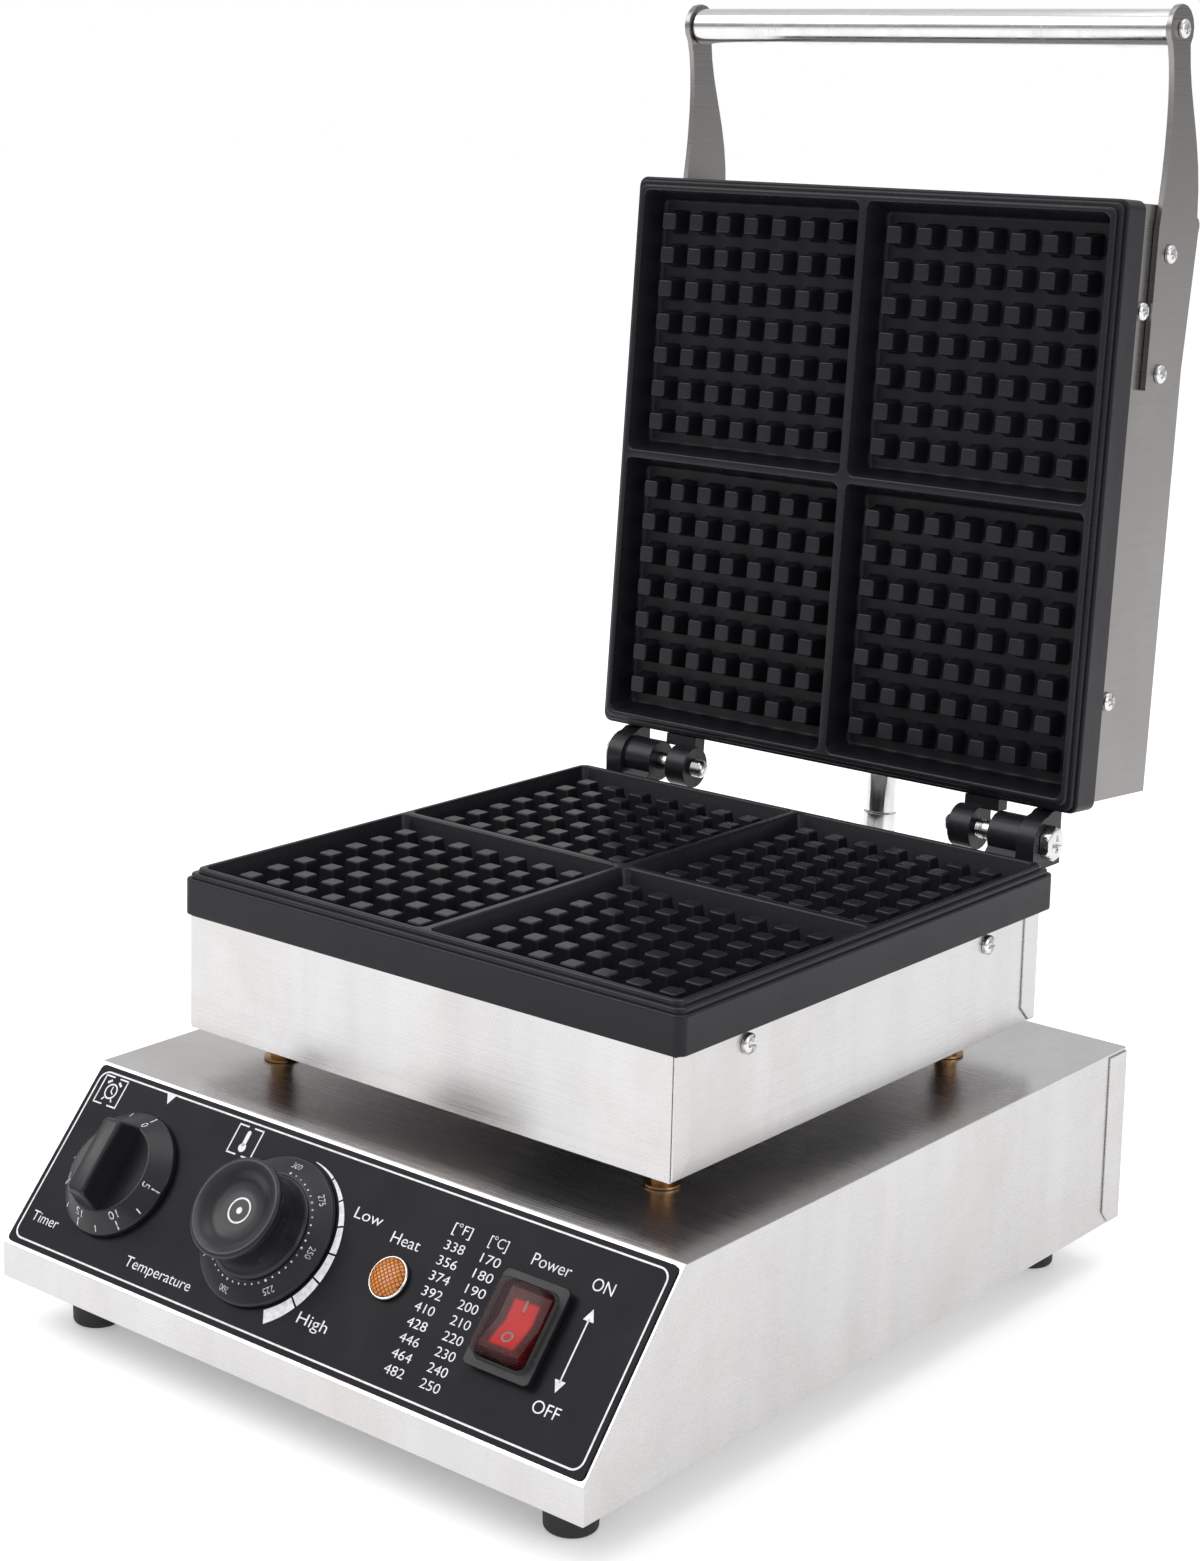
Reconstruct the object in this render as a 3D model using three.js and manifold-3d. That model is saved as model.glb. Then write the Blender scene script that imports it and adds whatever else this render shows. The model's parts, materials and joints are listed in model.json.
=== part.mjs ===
// Countertop waffle maker, lid open: a stainless base with a sloped control panel carries a lower
// cast grid on a stand-off casing, and a second grid with its own casing folds down on two hinges.
// Millimetres. X runs to the right, Y from the front lip to the rear, Z up from the feet.

import * as THREE from "three";
import { mergeGeometries, mergeVertices } from "three/addons/utils/BufferGeometryUtils.js";
import Module from "manifold-3d";

const wasm = await Module();
wasm.setup();

// ---------------------------------------------------------------- driving dimensions

const SHEET = 1.2; // stainless sheet
const GAP = 0.3; // between pieces that rest on each other
const SEAM = 0.15; // joint line between the pieces of one casting
const RUNNING = 0.1; // radial play of shafts and bolts in their bores

const BASE_SIDE_MARGIN = 22; // base beside the grid
const BASE_REAR_MARGIN = 27.7; // base behind the grid
const BASE_BOTTOM = 19;
const BASE_TOP = 94;
const LIP_HEIGHT = 14;
const SLOPE_RUN = 52.6;

const FOOT_RADIUS = 10.2;
const FOOT_INSET = 26;

const PLATE_WIDTH = 250;
const PLATE_LENGTH = 253;
const PLATE_SKIRT = 15; // side wall under the ledge
const PLATE_CORNER = 4;
const PLATE_FRONT = 75.3;
const CASING_UNDER_LEDGE = 61.6; // the lower casing's underside, below the castings' ledge
const RIM_HEIGHT = 4;
const RIM_INSET = 3.5;
const RIM_STEP_INSET = 1.5;
const RIM_TOP = 2.6; // flat on top of the rim
const DIVIDER_TOP = 3.8;
const MOULD_DEPTH = 8.5; // floor under the ledge
const MOULD_DRAFT = 3.5; // side wall's lean over its height
const PEG_PITCH = 15.2;
const PEG_TOP = 7;
const PEG_BASE = 9.6;
const PEG_TOP_Z = 1;

const CASING_INSET = 4; // casings' sides inside the grids' sides
const CASING_FRONT_INSET = 1;
const CASING_REAR_INSET = 5.3;
const STAND_OFF = 14.4; // air gap between the base and the lower casing
const PILLAR_SIDE_INSET = 24; // in the lower casing
const PILLAR_INSET = 27.5;
const PILLAR_RADIUS = 4.6;
const PILLAR_BORE = 2.8;

const LID_LEAN = THREE.MathUtils.degToRad(3.9); // past upright, at the stop
const HINGE_BEHIND_PLATE = 13.5;
const HINGE_RISE = 7.9; // axis over the lower grid's ledge
const CLOSED_GAP = 0.4; // between the two rims when the lid is down
const LID_CASING_REAR = 65.3; // behind the hinge axis
const LID_CASING_MARGIN = 2.5; // casing's edge inside the upper grid's hinge side
const LID_CASING_FAR_MARGIN = 1;
const KNUCKLE_RADIUS = 9.3;
const LUG_RADIUS = 11;
const BOLT_RADIUS = 4;
const LUG_SIDE_INSET = 12; // lower lug's outer face inside the grid's side
const LUG_THICKNESS = 8.5;
const OUTER_KNUCKLE_LENGTH = 15; // between the lug and the neck
const NECK_GAP = 1.5;
const NECK_WIDTH = 16.5;
const INNER_KNUCKLE_LENGTH = 10.5;
const BOLT_LENGTH = 49;
const ROUND = 24; // sides of the hinge cylinders

const CASING_SCREW_INSET = 45; // from the grid's front and rear edges
const LOWER_SCREW_DROP = 6.3; // under the casting
const UPPER_SCREW_DROP = 9.9;

const BRACKET_THICKNESS = 2.5;
const HANDLE_RADIUS = 8;
const HANDLE_REACH = 71.9; // handle axis beyond the lid casing's end
const HANDLE_BEHIND = 34.6; // behind the hinge axis
const ARM_SCREW_INSETS = [69.6, 19.9]; // from the lid casing's end
const ARM_CENTRE = 44.6;
const ARM_WIDTH = 29.4;
const ARM_SCREW_OFFSET = 4.6; // from the arm's middle towards the grid

const TIMER_INSET = 41; // from the panel's left end
const THERMOSTAT_X = -25.5;
const LAMP_X = 36;
const SWITCH_INSET = 49.5; // from the panel's right end

const SCREW_RADIUS = 2;
const SCREW_HEAD = 4;
const SCREW_LENGTH = 10;

const HOSE_RADIUS = 6.5;
const FERRULE_BEHIND = 48.3; // behind the hinge axis
const GROMMET_GROOVE = HOSE_RADIUS + 2.1;
const HOSE_GLAND = [62, 46]; // x and z on the rear wall
const CORD_GLAND = [108, 79];

// ---------------------------------------------------------------- derived positions

const BASE_WIDTH = PLATE_WIDTH + 2 * BASE_SIDE_MARGIN;
const BASE_DEPTH = PLATE_FRONT + PLATE_LENGTH + BASE_REAR_MARGIN;
const HALF_WIDTH = BASE_WIDTH / 2;
const LIP_TOP = BASE_BOTTOM + LIP_HEIGHT;
const SLOPE_RISE = BASE_TOP - LIP_TOP;
const SLOPE_ANGLE = Math.atan2(SLOPE_RISE, SLOPE_RUN);
const SLOPE_LENGTH = Math.hypot(SLOPE_RISE, SLOPE_RUN);
const CONTROL_V = SLOPE_LENGTH / 2; // every control sits half way up the slope
const TIMER_X = TIMER_INSET - HALF_WIDTH;
const SWITCH_X = HALF_WIDTH - SWITCH_INSET;

const PLATE_REAR = PLATE_FRONT + PLATE_LENGTH;
const CASING_HALF_WIDTH = PLATE_WIDTH / 2 - CASING_INSET;
const CASING_BOTTOM = BASE_TOP + STAND_OFF;
const PLATE_LEDGE_Z = CASING_BOTTOM + CASING_UNDER_LEDGE;
const LOWER_CASING_FRONT = PLATE_FRONT + CASING_FRONT_INSET;
const LOWER_CASING_REAR = PLATE_REAR - CASING_REAR_INSET;
const PILLAR_X = CASING_HALF_WIDTH - PILLAR_SIDE_INSET;
const CASING_SCREWS_ALONG = [CASING_SCREW_INSET, PLATE_LENGTH - CASING_SCREW_INSET];

const HINGE_Y = PLATE_REAR + HINGE_BEHIND_PLATE;
const HINGE_Z = PLATE_LEDGE_Z + HINGE_RISE;
const LID_FACE = 2 * RIM_HEIGHT + CLOSED_GAP - HINGE_RISE; // upper ledge, behind the axis
const UPPER_PLATE_BACK = LID_FACE + PLATE_SKIRT;
const LID_CASING_START = HINGE_BEHIND_PLATE + LID_CASING_MARGIN;
const LID_CASING_END = HINGE_BEHIND_PLATE + PLATE_LENGTH - LID_CASING_FAR_MARGIN;
const HANDLE_ALONG = LID_CASING_END + HANDLE_REACH;
const ARM_SCREWS = ARM_SCREW_INSETS.map((inset) => LID_CASING_END - inset);

// Stations of the hinge pieces across the machine, nearest the middle first.
const LUG_FACE = PLATE_WIDTH / 2 - LUG_SIDE_INSET;
const LUG = [LUG_FACE - LUG_THICKNESS, LUG_FACE];
const OUTER_KNUCKLE = [LUG[0] - OUTER_KNUCKLE_LENGTH, LUG[0] + 0.5];
const NECK_FACE = OUTER_KNUCKLE[0] - NECK_GAP;
const NECK = [NECK_FACE - NECK_WIDTH, NECK_FACE];
const INNER_KNUCKLE = [NECK[0] - 1.5, NECK[0] - 1.5 + INNER_KNUCKLE_LENGTH];
const BOLT_TIP = LUG_FACE - BOLT_LENGTH;

// ---------------------------------------------------------------- materials

function finish(color, roughness, metalness, extra = {}) {
  return new THREE.MeshStandardMaterial({ color, roughness, metalness, ...extra });
}

const steel = finish(0xd6d6d8, 0.3, 1);
const brightSteel = finish(0xcfcfd2, 0.15, 1);
const castCoating = finish(0x26252b, 0.5, 0.4);
const heatTinted = finish(0x6b5646, 0.4, 0.9);
const blackPlastic = finish(0x1d1c21, 0.45, 0);
const panelFilm = finish(0x232328, 0.6, 0);
const rubber = finish(0x161618, 0.85, 0);
const redPlastic = finish(0xb81818, 0.3, 0);
const amberLens = finish(0xc8701a, 0.25, 0);
const clearVinyl = finish(0x8a8d90, 0.15, 0, { transparent: true, opacity: 0.35 });
const ceramic = finish(0xe6e0d2, 0.6, 0);
const copper = finish(0xb87333, 0.35, 1);

// ---------------------------------------------------------------- solids

function toSolid(geometry) {
  const bare = geometry.clone();
  bare.deleteAttribute("normal");
  bare.deleteAttribute("uv");
  const merged = mergeVertices(bare, 1e-4);
  const index = merged.index.array;
  const triangles = [];
  for (let i = 0; i < index.length; i += 3) {
    const [a, b, c] = [index[i], index[i + 1], index[i + 2]];
    if (a !== b && b !== c && c !== a) triangles.push(a, b, c);
  }
  return new wasm.Manifold(
    new wasm.Mesh({
      numProp: 3,
      vertProperties: Float32Array.from(merged.attributes.position.array),
      triVerts: Uint32Array.from(triangles),
    }),
  );
}

function toGeometry(solid) {
  const mesh = solid.getMesh();
  const geometry = new THREE.BufferGeometry();
  geometry.setAttribute("position", new THREE.BufferAttribute(mesh.vertProperties, 3));
  geometry.setIndex(new THREE.BufferAttribute(mesh.triVerts, 1));
  return geometry;
}

function join(...geometries) {
  return toGeometry(geometries.map(toSolid).reduce((all, next) => all.add(next)));
}

function cut(geometry, ...tools) {
  return toGeometry(tools.map(toSolid).reduce((rest, tool) => rest.subtract(tool), toSolid(geometry)));
}

function together(...geometries) {
  return mergeGeometries(
    geometries.map((g) => {
      const bare = g.index ? g.toNonIndexed() : g.clone();
      bare.deleteAttribute("normal");
      bare.deleteAttribute("uv");
      return bare;
    }),
  );
}

function block([x0, y0, z0], [x1, y1, z1]) {
  const geometry = new THREE.BoxGeometry(x1 - x0, y1 - y0, z1 - z0);
  return geometry.translate((x0 + x1) / 2, (y0 + y1) / 2, (z0 + z1) / 2);
}

function circlePoints(radius, sides, [cx, cy] = [0, 0]) {
  const points = [];
  for (let i = 0; i < sides; i += 1) {
    const angle = (2 * Math.PI * (i + 0.5)) / sides;
    points.push(new THREE.Vector2(cx + radius * Math.cos(angle), cy + radius * Math.sin(angle)));
  }
  return points;
}

function extrude(outline, depth, holes = []) {
  const shape = new THREE.Shape(outline);
  shape.holes = holes.map((points) => new THREE.Path(points));
  return new THREE.ExtrudeGeometry(shape, { depth, bevelEnabled: false });
}

// Turns a Z-axis geometry so that its length runs along another axis.
const ALONG = {
  x: new THREE.Matrix4().makeBasis(
    new THREE.Vector3(0, 1, 0),
    new THREE.Vector3(0, 0, 1),
    new THREE.Vector3(1, 0, 0),
  ),
  y: new THREE.Matrix4().makeBasis(
    new THREE.Vector3(0, 0, 1),
    new THREE.Vector3(1, 0, 0),
    new THREE.Vector3(0, 1, 0),
  ),
  z: new THREE.Matrix4(),
};

// A round bar between two stations of one axis; the centre is given in the two other axes, in
// cyclic order (y, z for x; z, x for y; x, y for z).
function rod(axis, centre, radius, from, to, sides = 12) {
  return extrude(circlePoints(radius, sides, centre), to - from)
    .translate(0, 0, from)
    .applyMatrix4(ALONG[axis]);
}

// Stations on the left or right half of the X axis, lowest first.
function span(sign, [near, far]) {
  return [Math.min(sign * near, sign * far), Math.max(sign * near, sign * far)];
}

// A profile in the Y-Z plane, extruded along X.
function prismX(points, from, to) {
  const outline = points.map(([y, z]) => new THREE.Vector2(y, z));
  return extrude(outline, to - from).translate(0, 0, from).applyMatrix4(ALONG.x);
}

// A closed profile of (radius, height) turned about Z, counter-clockwise from its foot.
function turned(profile, sides = 16) {
  const points = profile.map(([r, z]) => new THREE.Vector2(r, z));
  return new THREE.LatheGeometry(points, sides).rotateX(Math.PI / 2);
}

function tube(points, radius, sides = 8, steps = 40) {
  const path = new THREE.CatmullRomCurve3(points.map((p) => new THREE.Vector3(...p)));
  const section = new THREE.Shape(circlePoints(radius, sides));
  return new THREE.ExtrudeGeometry(section, { extrudePath: path, steps, bevelEnabled: false });
}

function roundedRectangle(width, length, radius, steps = 3) {
  const points = [];
  const corners = [[1, 1], [-1, 1], [-1, -1], [1, -1]];
  corners.forEach(([sx, sy], corner) => {
    for (let i = 0; i <= steps; i += 1) {
      const angle = (Math.PI / 2) * (corner + i / steps);
      points.push(
        new THREE.Vector2(
          sx * (width / 2 - radius) + radius * Math.cos(angle),
          sy * (length / 2 - radius) + radius * Math.sin(angle),
        ),
      );
    }
  });
  return points;
}

// A four-sided frustum between two levels, centred on (x, y).
function frustum([x, y], [lowWidth, lowLength], [highWidth, highLength], low, high) {
  const geometry = new THREE.BoxGeometry(1, 1, 1);
  const position = geometry.attributes.position;
  for (let i = 0; i < position.count; i += 1) {
    const top = position.getZ(i) > 0;
    position.setXYZ(
      i,
      x + position.getX(i) * (top ? highWidth : lowWidth),
      y + position.getY(i) * (top ? highLength : lowLength),
      top ? high : low,
    );
  }
  return geometry;
}

// ---------------------------------------------------------------- scene graph

const machine = new THREE.Group();

const panel = new THREE.Group(); // x across, y up the slope, z out of the panel
panel.position.z = LIP_TOP;
panel.rotation.x = SLOPE_ANGLE;
machine.add(panel);

const lid = new THREE.Group(); // y from the grid's face to the casing's back, z away from the hinge
lid.position.set(0, HINGE_Y, HINGE_Z);
lid.rotation.x = -LID_LEAN;
machine.add(lid);

function add(parent, name, geometry, material) {
  const mesh = new THREE.Mesh(geometry, material);
  mesh.name = name;
  parent.add(mesh);
  return mesh;
}

panel.updateMatrix();

function onPanel(geometry) {
  return geometry.applyMatrix4(panel.matrix);
}

const SIDES = { left: -1, right: 1 };
const ENDS = { front: 0, rear: 1 };

// ---------------------------------------------------------------- base

function pillarPlaces() {
  const rows = [LOWER_CASING_FRONT + PILLAR_INSET, LOWER_CASING_REAR - PILLAR_INSET];
  return Object.entries(ENDS).flatMap(([end, row]) =>
    Object.entries(SIDES).map(([side, sign]) => [`${end}_${side}`, sign * PILLAR_X, rows[row]]),
  );
}

const PILLAR_STEM = 3.6;
const STEM_HOLE = PILLAR_STEM + 0.2;
const TIMER_BUSH = 4.5;
const LAMP_BARREL = 5.8;
const SWITCH_CUTOUT = [22.4, 30.4];
const GLAND_THREAD = 8;

function baseCasing() {
  const rise = Math.tan(SLOPE_ANGLE);
  const offset = SHEET / Math.cos(SLOPE_ANGLE);
  const innerTop = BASE_TOP - SHEET;
  const outer = [
    [0, BASE_BOTTOM],
    [BASE_DEPTH, BASE_BOTTOM],
    [BASE_DEPTH, BASE_TOP],
    [SLOPE_RUN, BASE_TOP],
    [0, LIP_TOP],
  ];
  const inner = [
    [SHEET, BASE_BOTTOM - 1],
    [BASE_DEPTH - SHEET, BASE_BOTTOM - 1],
    [BASE_DEPTH - SHEET, innerTop],
    [(innerTop - LIP_TOP + offset) / rise, innerTop],
    [SHEET, LIP_TOP + SHEET * rise - offset],
  ];
  const through = [-4, 3];
  const controls = together(
    rod("z", [TIMER_X, CONTROL_V], TIMER_BUSH + 0.2, ...through),
    rod("z", [THERMOSTAT_X, CONTROL_V], TIMER_BUSH + 0.2, ...through),
    rod("z", [LAMP_X, CONTROL_V], LAMP_BARREL + 0.2, ...through),
    block(
      [SWITCH_X - SWITCH_CUTOUT[0] / 2, CONTROL_V - SWITCH_CUTOUT[1] / 2, through[0]],
      [SWITCH_X + SWITCH_CUTOUT[0] / 2, CONTROL_V + SWITCH_CUTOUT[1] / 2, through[1]],
    ),
  );
  const stems = pillarPlaces().map(([, x, y]) => rod("z", [x, y], STEM_HOLE, innerTop - 1, BASE_TOP + 1));
  const glands = [HOSE_GLAND, CORD_GLAND].map(([x, z]) =>
    rod("y", [z, x], GLAND_THREAD + 0.5, BASE_DEPTH - SHEET - 1, BASE_DEPTH + 1),
  );
  return cut(
    prismX(outer, -HALF_WIDTH, HALF_WIDTH),
    prismX(inner, -HALF_WIDTH + SHEET, HALF_WIDTH - SHEET),
    onPanel(controls),
    together(...stems, ...glands),
  );
}

function footPlaces() {
  return Object.entries(ENDS).flatMap(([end, row]) =>
    Object.entries(SIDES).map(([side, sign]) => [
      `${end}_${side}`,
      sign * (HALF_WIDTH - FOOT_INSET),
      row ? BASE_DEPTH - FOOT_INSET : FOOT_INSET,
    ]),
  );
}

const FOOT_STEM = 2.6;
const COVER_BOTTOM = BASE_BOTTOM + GAP;

function baseCover() {
  const margin = SHEET + GAP;
  const width = BASE_WIDTH - 2 * margin;
  const length = BASE_DEPTH - 2 * margin;
  const outline = roundedRectangle(width, length, 2, 1);
  const slots = [];
  for (let row = -1; row <= 1; row += 2) {
    for (let i = -2; i <= 2; i += 1) {
      const x = i * 16;
      const y = row * 70;
      slots.push(roundedRectangle(5, 48, 2.4, 1).map((p) => p.add(new THREE.Vector2(x, y))));
    }
  }
  const stems = footPlaces().map(([, x, y]) => circlePoints(FOOT_STEM + 0.4, 12, [x, y - BASE_DEPTH / 2]));
  return extrude(outline, SHEET, [...slots, ...stems]).translate(0, BASE_DEPTH / 2, COVER_BOTTOM);
}

function foot() {
  const barb = COVER_BOTTOM + SHEET + 0.4;
  return turned(
    [
      [0, 1.5],
      [4, 1.5],
      [4, 0],
      [FOOT_RADIUS - 1.6, 0],
      [FOOT_RADIUS - 0.5, 1],
      [FOOT_RADIUS, BASE_BOTTOM],
      [FOOT_STEM, BASE_BOTTOM],
      [FOOT_STEM, barb],
      [FOOT_STEM + 1.2, barb + 0.4],
      [FOOT_STEM - 0.6, barb + 3],
      [0, barb + 3],
    ],
    14,
  );
}

add(machine, "base_casing", baseCasing(), steel);
add(machine, "base_cover", baseCover(), steel);
footPlaces().forEach(([place, x, y]) => add(machine, `foot_${place}`, foot(), rubber).position.set(x, y, 0));

function pillar() {
  const flange = PILLAR_RADIUS + 1.9;
  const low = BASE_TOP + GAP;
  const high = CASING_BOTTOM - GAP;
  const reach = SHEET + 3.6;
  return turned(
    [
      [PILLAR_BORE, BASE_TOP - reach],
      [PILLAR_STEM, BASE_TOP - reach],
      [PILLAR_STEM, low],
      [PILLAR_RADIUS, low],
      [PILLAR_RADIUS, high - 4.2],
      [flange, high - 3.6],
      [flange, high],
      [PILLAR_STEM, high],
      [PILLAR_STEM, CASING_BOTTOM + reach],
      [PILLAR_BORE, CASING_BOTTOM + reach],
      [PILLAR_BORE, BASE_TOP - reach],
    ],
    12,
  );
}

pillarPlaces().forEach(([place, x, y]) =>
  add(machine, `pillar_${place}`, pillar(), heatTinted).position.set(x, y, 0),
);

// ---------------------------------------------------------------- cast grids

// The casting lies face up: x across, y along from its front edge, z up from its ledge.
// It holds four moulds, given here by their centres and sizes at the top of the rim.
function moulds() {
  const border = RIM_INSET + RIM_TOP + DIVIDER_TOP / 2;
  const size = [PLATE_WIDTH, PLATE_LENGTH].map((side) => side / 2 - border);
  const [offsetX, offsetY] = size.map((side) => (side + DIVIDER_TOP) / 2);
  return [[-1, -1], [1, -1], [-1, 1], [1, 1]].map(([sx, sy]) => ({
    centre: [sx * offsetX, PLATE_LENGTH / 2 + sy * offsetY],
    size,
  }));
}

function mould({ centre, size }) {
  const lean = 2 * MOULD_DRAFT;
  const over = 1 / (RIM_HEIGHT + MOULD_DEPTH);
  return frustum(
    centre,
    size.map((side) => side - lean),
    size.map((side) => side + lean * over),
    -MOULD_DEPTH,
    RIM_HEIGHT + 1,
  );
}

function pegs({ centre, size }) {
  const [columns, rows] = size.map((side) => Math.floor(side / PEG_PITCH));
  const all = [];
  for (let i = 0; i < columns; i += 1) {
    for (let j = 0; j < rows; j += 1) {
      const x = centre[0] + (i - (columns - 1) / 2) * PEG_PITCH;
      const y = centre[1] + (j - (rows - 1) / 2) * PEG_PITCH;
      all.push(frustum([x, y], [PEG_BASE, PEG_BASE], [PEG_TOP, PEG_TOP], -MOULD_DEPTH - 0.5, PEG_TOP_Z));
    }
  }
  return all;
}

const BOSS_HALF_HEIGHT = 5;
const BOSS_LENGTH = SCREW_LENGTH + 3;

function slab(inset, low, high, radius) {
  const outline = roundedRectangle(PLATE_WIDTH - 2 * inset, PLATE_LENGTH - 2 * inset, radius);
  return extrude(outline, high - low).translate(0, PLATE_LENGTH / 2, low);
}

// The raised rim and the cross between the moulds, with a step round the outside.
function rim() {
  return cut(
    join(
      slab(RIM_STEP_INSET, SEAM, RIM_HEIGHT / 2, PLATE_CORNER - 1),
      slab(RIM_INSET, SEAM, RIM_HEIGHT, PLATE_CORNER - 2),
    ),
    together(...moulds().map(mould)),
  );
}

function casting(screwDrop) {
  const bossTop = -PLATE_SKIRT + 1;
  const bossBottom = -PLATE_SKIRT - screwDrop - BOSS_HALF_HEIGHT;
  const bossOuter = CASING_HALF_WIDTH - SHEET - GAP;
  const bosses = [];
  const holes = [];
  Object.values(SIDES).forEach((sign) => {
    CASING_SCREWS_ALONG.forEach((along) => {
      const [left, right] = span(sign, [bossOuter - BOSS_LENGTH, bossOuter]);
      bosses.push(
        block(
          [left, along - BOSS_HALF_HEIGHT, bossBottom],
          [right, along + BOSS_HALF_HEIGHT, bossTop],
        ),
      );
      const hole = span(sign, [bossOuter - SCREW_LENGTH, bossOuter + 1]);
      holes.push(rod("x", [along, -PLATE_SKIRT - screwDrop], SCREW_RADIUS + RUNNING, ...hole));
    });
  });
  const body = cut(
    join(slab(0, -PLATE_SKIRT, 0, PLATE_CORNER), together(...bosses)),
    together(...moulds().map(mould)),
    together(...holes),
  );
  return join(body, together(...moulds().flatMap(pegs)));
}

function arc(centre, radius, from, to, steps) {
  const points = [];
  for (let i = 0; i <= steps; i += 1) {
    const angle = THREE.MathUtils.degToRad(from + ((to - from) * i) / steps);
    points.push([centre[0] + radius * Math.cos(angle), centre[1] + radius * Math.sin(angle)]);
  }
  return points;
}

const HINGE_BORE = BOLT_RADIUS + RUNNING;

// Rear lug of the lower casting: an outer cheek with a stop behind it, a long knuckle, and a web
// that meets the casting's rear wall. Drawn about the hinge axis.
function lowerLug(sign) {
  const stopTop = (HINGE_BEHIND_PLATE - GAP - LUG_RADIUS * Math.sin(LID_LEAN)) / Math.cos(LID_LEAN);
  const cheek = [
    [-LUG_RADIUS, -LUG_RADIUS],
    [LUG_RADIUS, -LUG_RADIUS],
    [LUG_RADIUS, stopTop],
    [3, stopTop],
    ...arc([0, 0], LUG_RADIUS, 90, 180, 6),
  ];
  const web = [
    [-HINGE_BEHIND_PLATE + SEAM, -HINGE_RISE - 11],
    [-4, -LUG_RADIUS + 0.5],
    [0, -KNUCKLE_RADIUS / 2],
    [-KNUCKLE_RADIUS + 2, -KNUCKLE_RADIUS / 3],
    [-HINGE_BEHIND_PLATE + SEAM, -HINGE_RISE - 1.5],
  ];
  const [inner] = OUTER_KNUCKLE;
  return cut(
    join(
      prismX(cheek, ...span(sign, LUG)),
      rod("x", [0, 0], KNUCKLE_RADIUS, ...span(sign, OUTER_KNUCKLE), ROUND),
      prismX(web, ...span(sign, [inner, LUG[1]])),
    ),
    rod("x", [0, 0], HINGE_BORE, ...span(sign, [inner - 1, LUG[1] + 1]), ROUND),
  ).translate(0, HINGE_Y, HINGE_Z);
}

// Neck and inner knuckle of the upper casting, drawn in the lid's frame about the hinge axis.
function upperLug(sign) {
  const front = LID_FACE + 0.5;
  const top = HINGE_BEHIND_PLATE - SEAM;
  const neck = [
    [front, top],
    [front, KNUCKLE_RADIUS - 1],
    [KNUCKLE_RADIUS - 1, KNUCKLE_RADIUS - 1],
    [KNUCKLE_RADIUS - 1, top],
  ];
  const stem = [
    [front, KNUCKLE_RADIUS],
    [front, 2],
    [KNUCKLE_RADIUS - 1, 2],
    [KNUCKLE_RADIUS - 1, KNUCKLE_RADIUS],
  ];
  const knuckle = span(sign, INNER_KNUCKLE);
  return cut(
    join(
      rod("x", [0, 0], KNUCKLE_RADIUS, ...knuckle, ROUND),
      prismX(stem.reverse(), ...span(sign, [NECK[0], INNER_KNUCKLE[1]])),
      prismX(neck.reverse(), ...span(sign, NECK)),
    ),
    rod("x", [0, 0], HINGE_BORE, knuckle[0] - 1, knuckle[1] + 1, ROUND),
  );
}

const faceUp = (piece) => piece.translate(0, PLATE_FRONT, PLATE_LEDGE_Z);
const faceFront = (piece) => piece.rotateX(Math.PI / 2).translate(0, LID_FACE, HINGE_BEHIND_PLATE);

add(machine, "lower_plate", faceUp(casting(LOWER_SCREW_DROP)), castCoating);
add(machine, "lower_rim", faceUp(rim()), castCoating);
add(lid, "upper_plate", faceFront(casting(UPPER_SCREW_DROP)), castCoating);
add(lid, "upper_rim", faceFront(rim()), castCoating);
Object.entries(SIDES).forEach(([side, sign]) => {
  add(machine, `lower_hinge_${side}`, lowerLug(sign), castCoating);
  add(lid, `upper_hinge_${side}`, upperLug(sign), castCoating);
});

// ---------------------------------------------------------------- hinge bolts

function hingeBolt() {
  const head = extrude(circlePoints(6.5 / Math.cos(Math.PI / 6), 6), 4.4);
  const shank = extrude(circlePoints(BOLT_RADIUS, ROUND), LUG[1] + GAP - BOLT_TIP + 1);
  return join(head, shank.translate(0, 0, BOLT_TIP - LUG[1] - GAP));
}

Object.entries(SIDES).forEach(([side, sign]) => {
  const bolt = add(machine, `hinge_bolt_${side}`, hingeBolt(), brightSteel);
  bolt.rotation.y = (sign * Math.PI) / 2;
  bolt.position.set(sign * (LUG[1] + GAP), HINGE_Y, HINGE_Z);
});

// ---------------------------------------------------------------- casings

// A pan-head screw with its seat at z = 0 and its shank along -z.
function screw() {
  return turned(
    [
      [0, -SCREW_LENGTH],
      [SCREW_RADIUS, -SCREW_LENGTH],
      [SCREW_RADIUS, 0],
      [SCREW_HEAD, 0],
      [SCREW_HEAD, 1.1],
      [SCREW_HEAD * 0.7, 2.3],
      [0, 2.8],
    ],
    10,
  );
}

function sideScrew(parent, name, sign, seat, along, across) {
  const mesh = add(parent, name, screw(), brightSteel);
  mesh.rotation.y = (sign * Math.PI) / 2;
  mesh.position.set(sign * seat, along, across);
}

function sideHoles(places, radius = SCREW_RADIUS + 0.3) {
  const reach = CASING_HALF_WIDTH + 1;
  return together(
    ...Object.values(SIDES).flatMap((sign) =>
      places.map((centre) => rod("x", centre, radius, ...span(sign, [reach - SHEET - 2, reach]), 12)),
    ),
  );
}

const LOWER_SCREWS = CASING_SCREWS_ALONG.map((along) => [
  PLATE_FRONT + along,
  PLATE_LEDGE_Z - PLATE_SKIRT - LOWER_SCREW_DROP,
]);
const UPPER_SCREWS = CASING_SCREWS_ALONG.map((along) => [
  UPPER_PLATE_BACK + UPPER_SCREW_DROP,
  HINGE_BEHIND_PLATE + along,
]);

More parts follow.
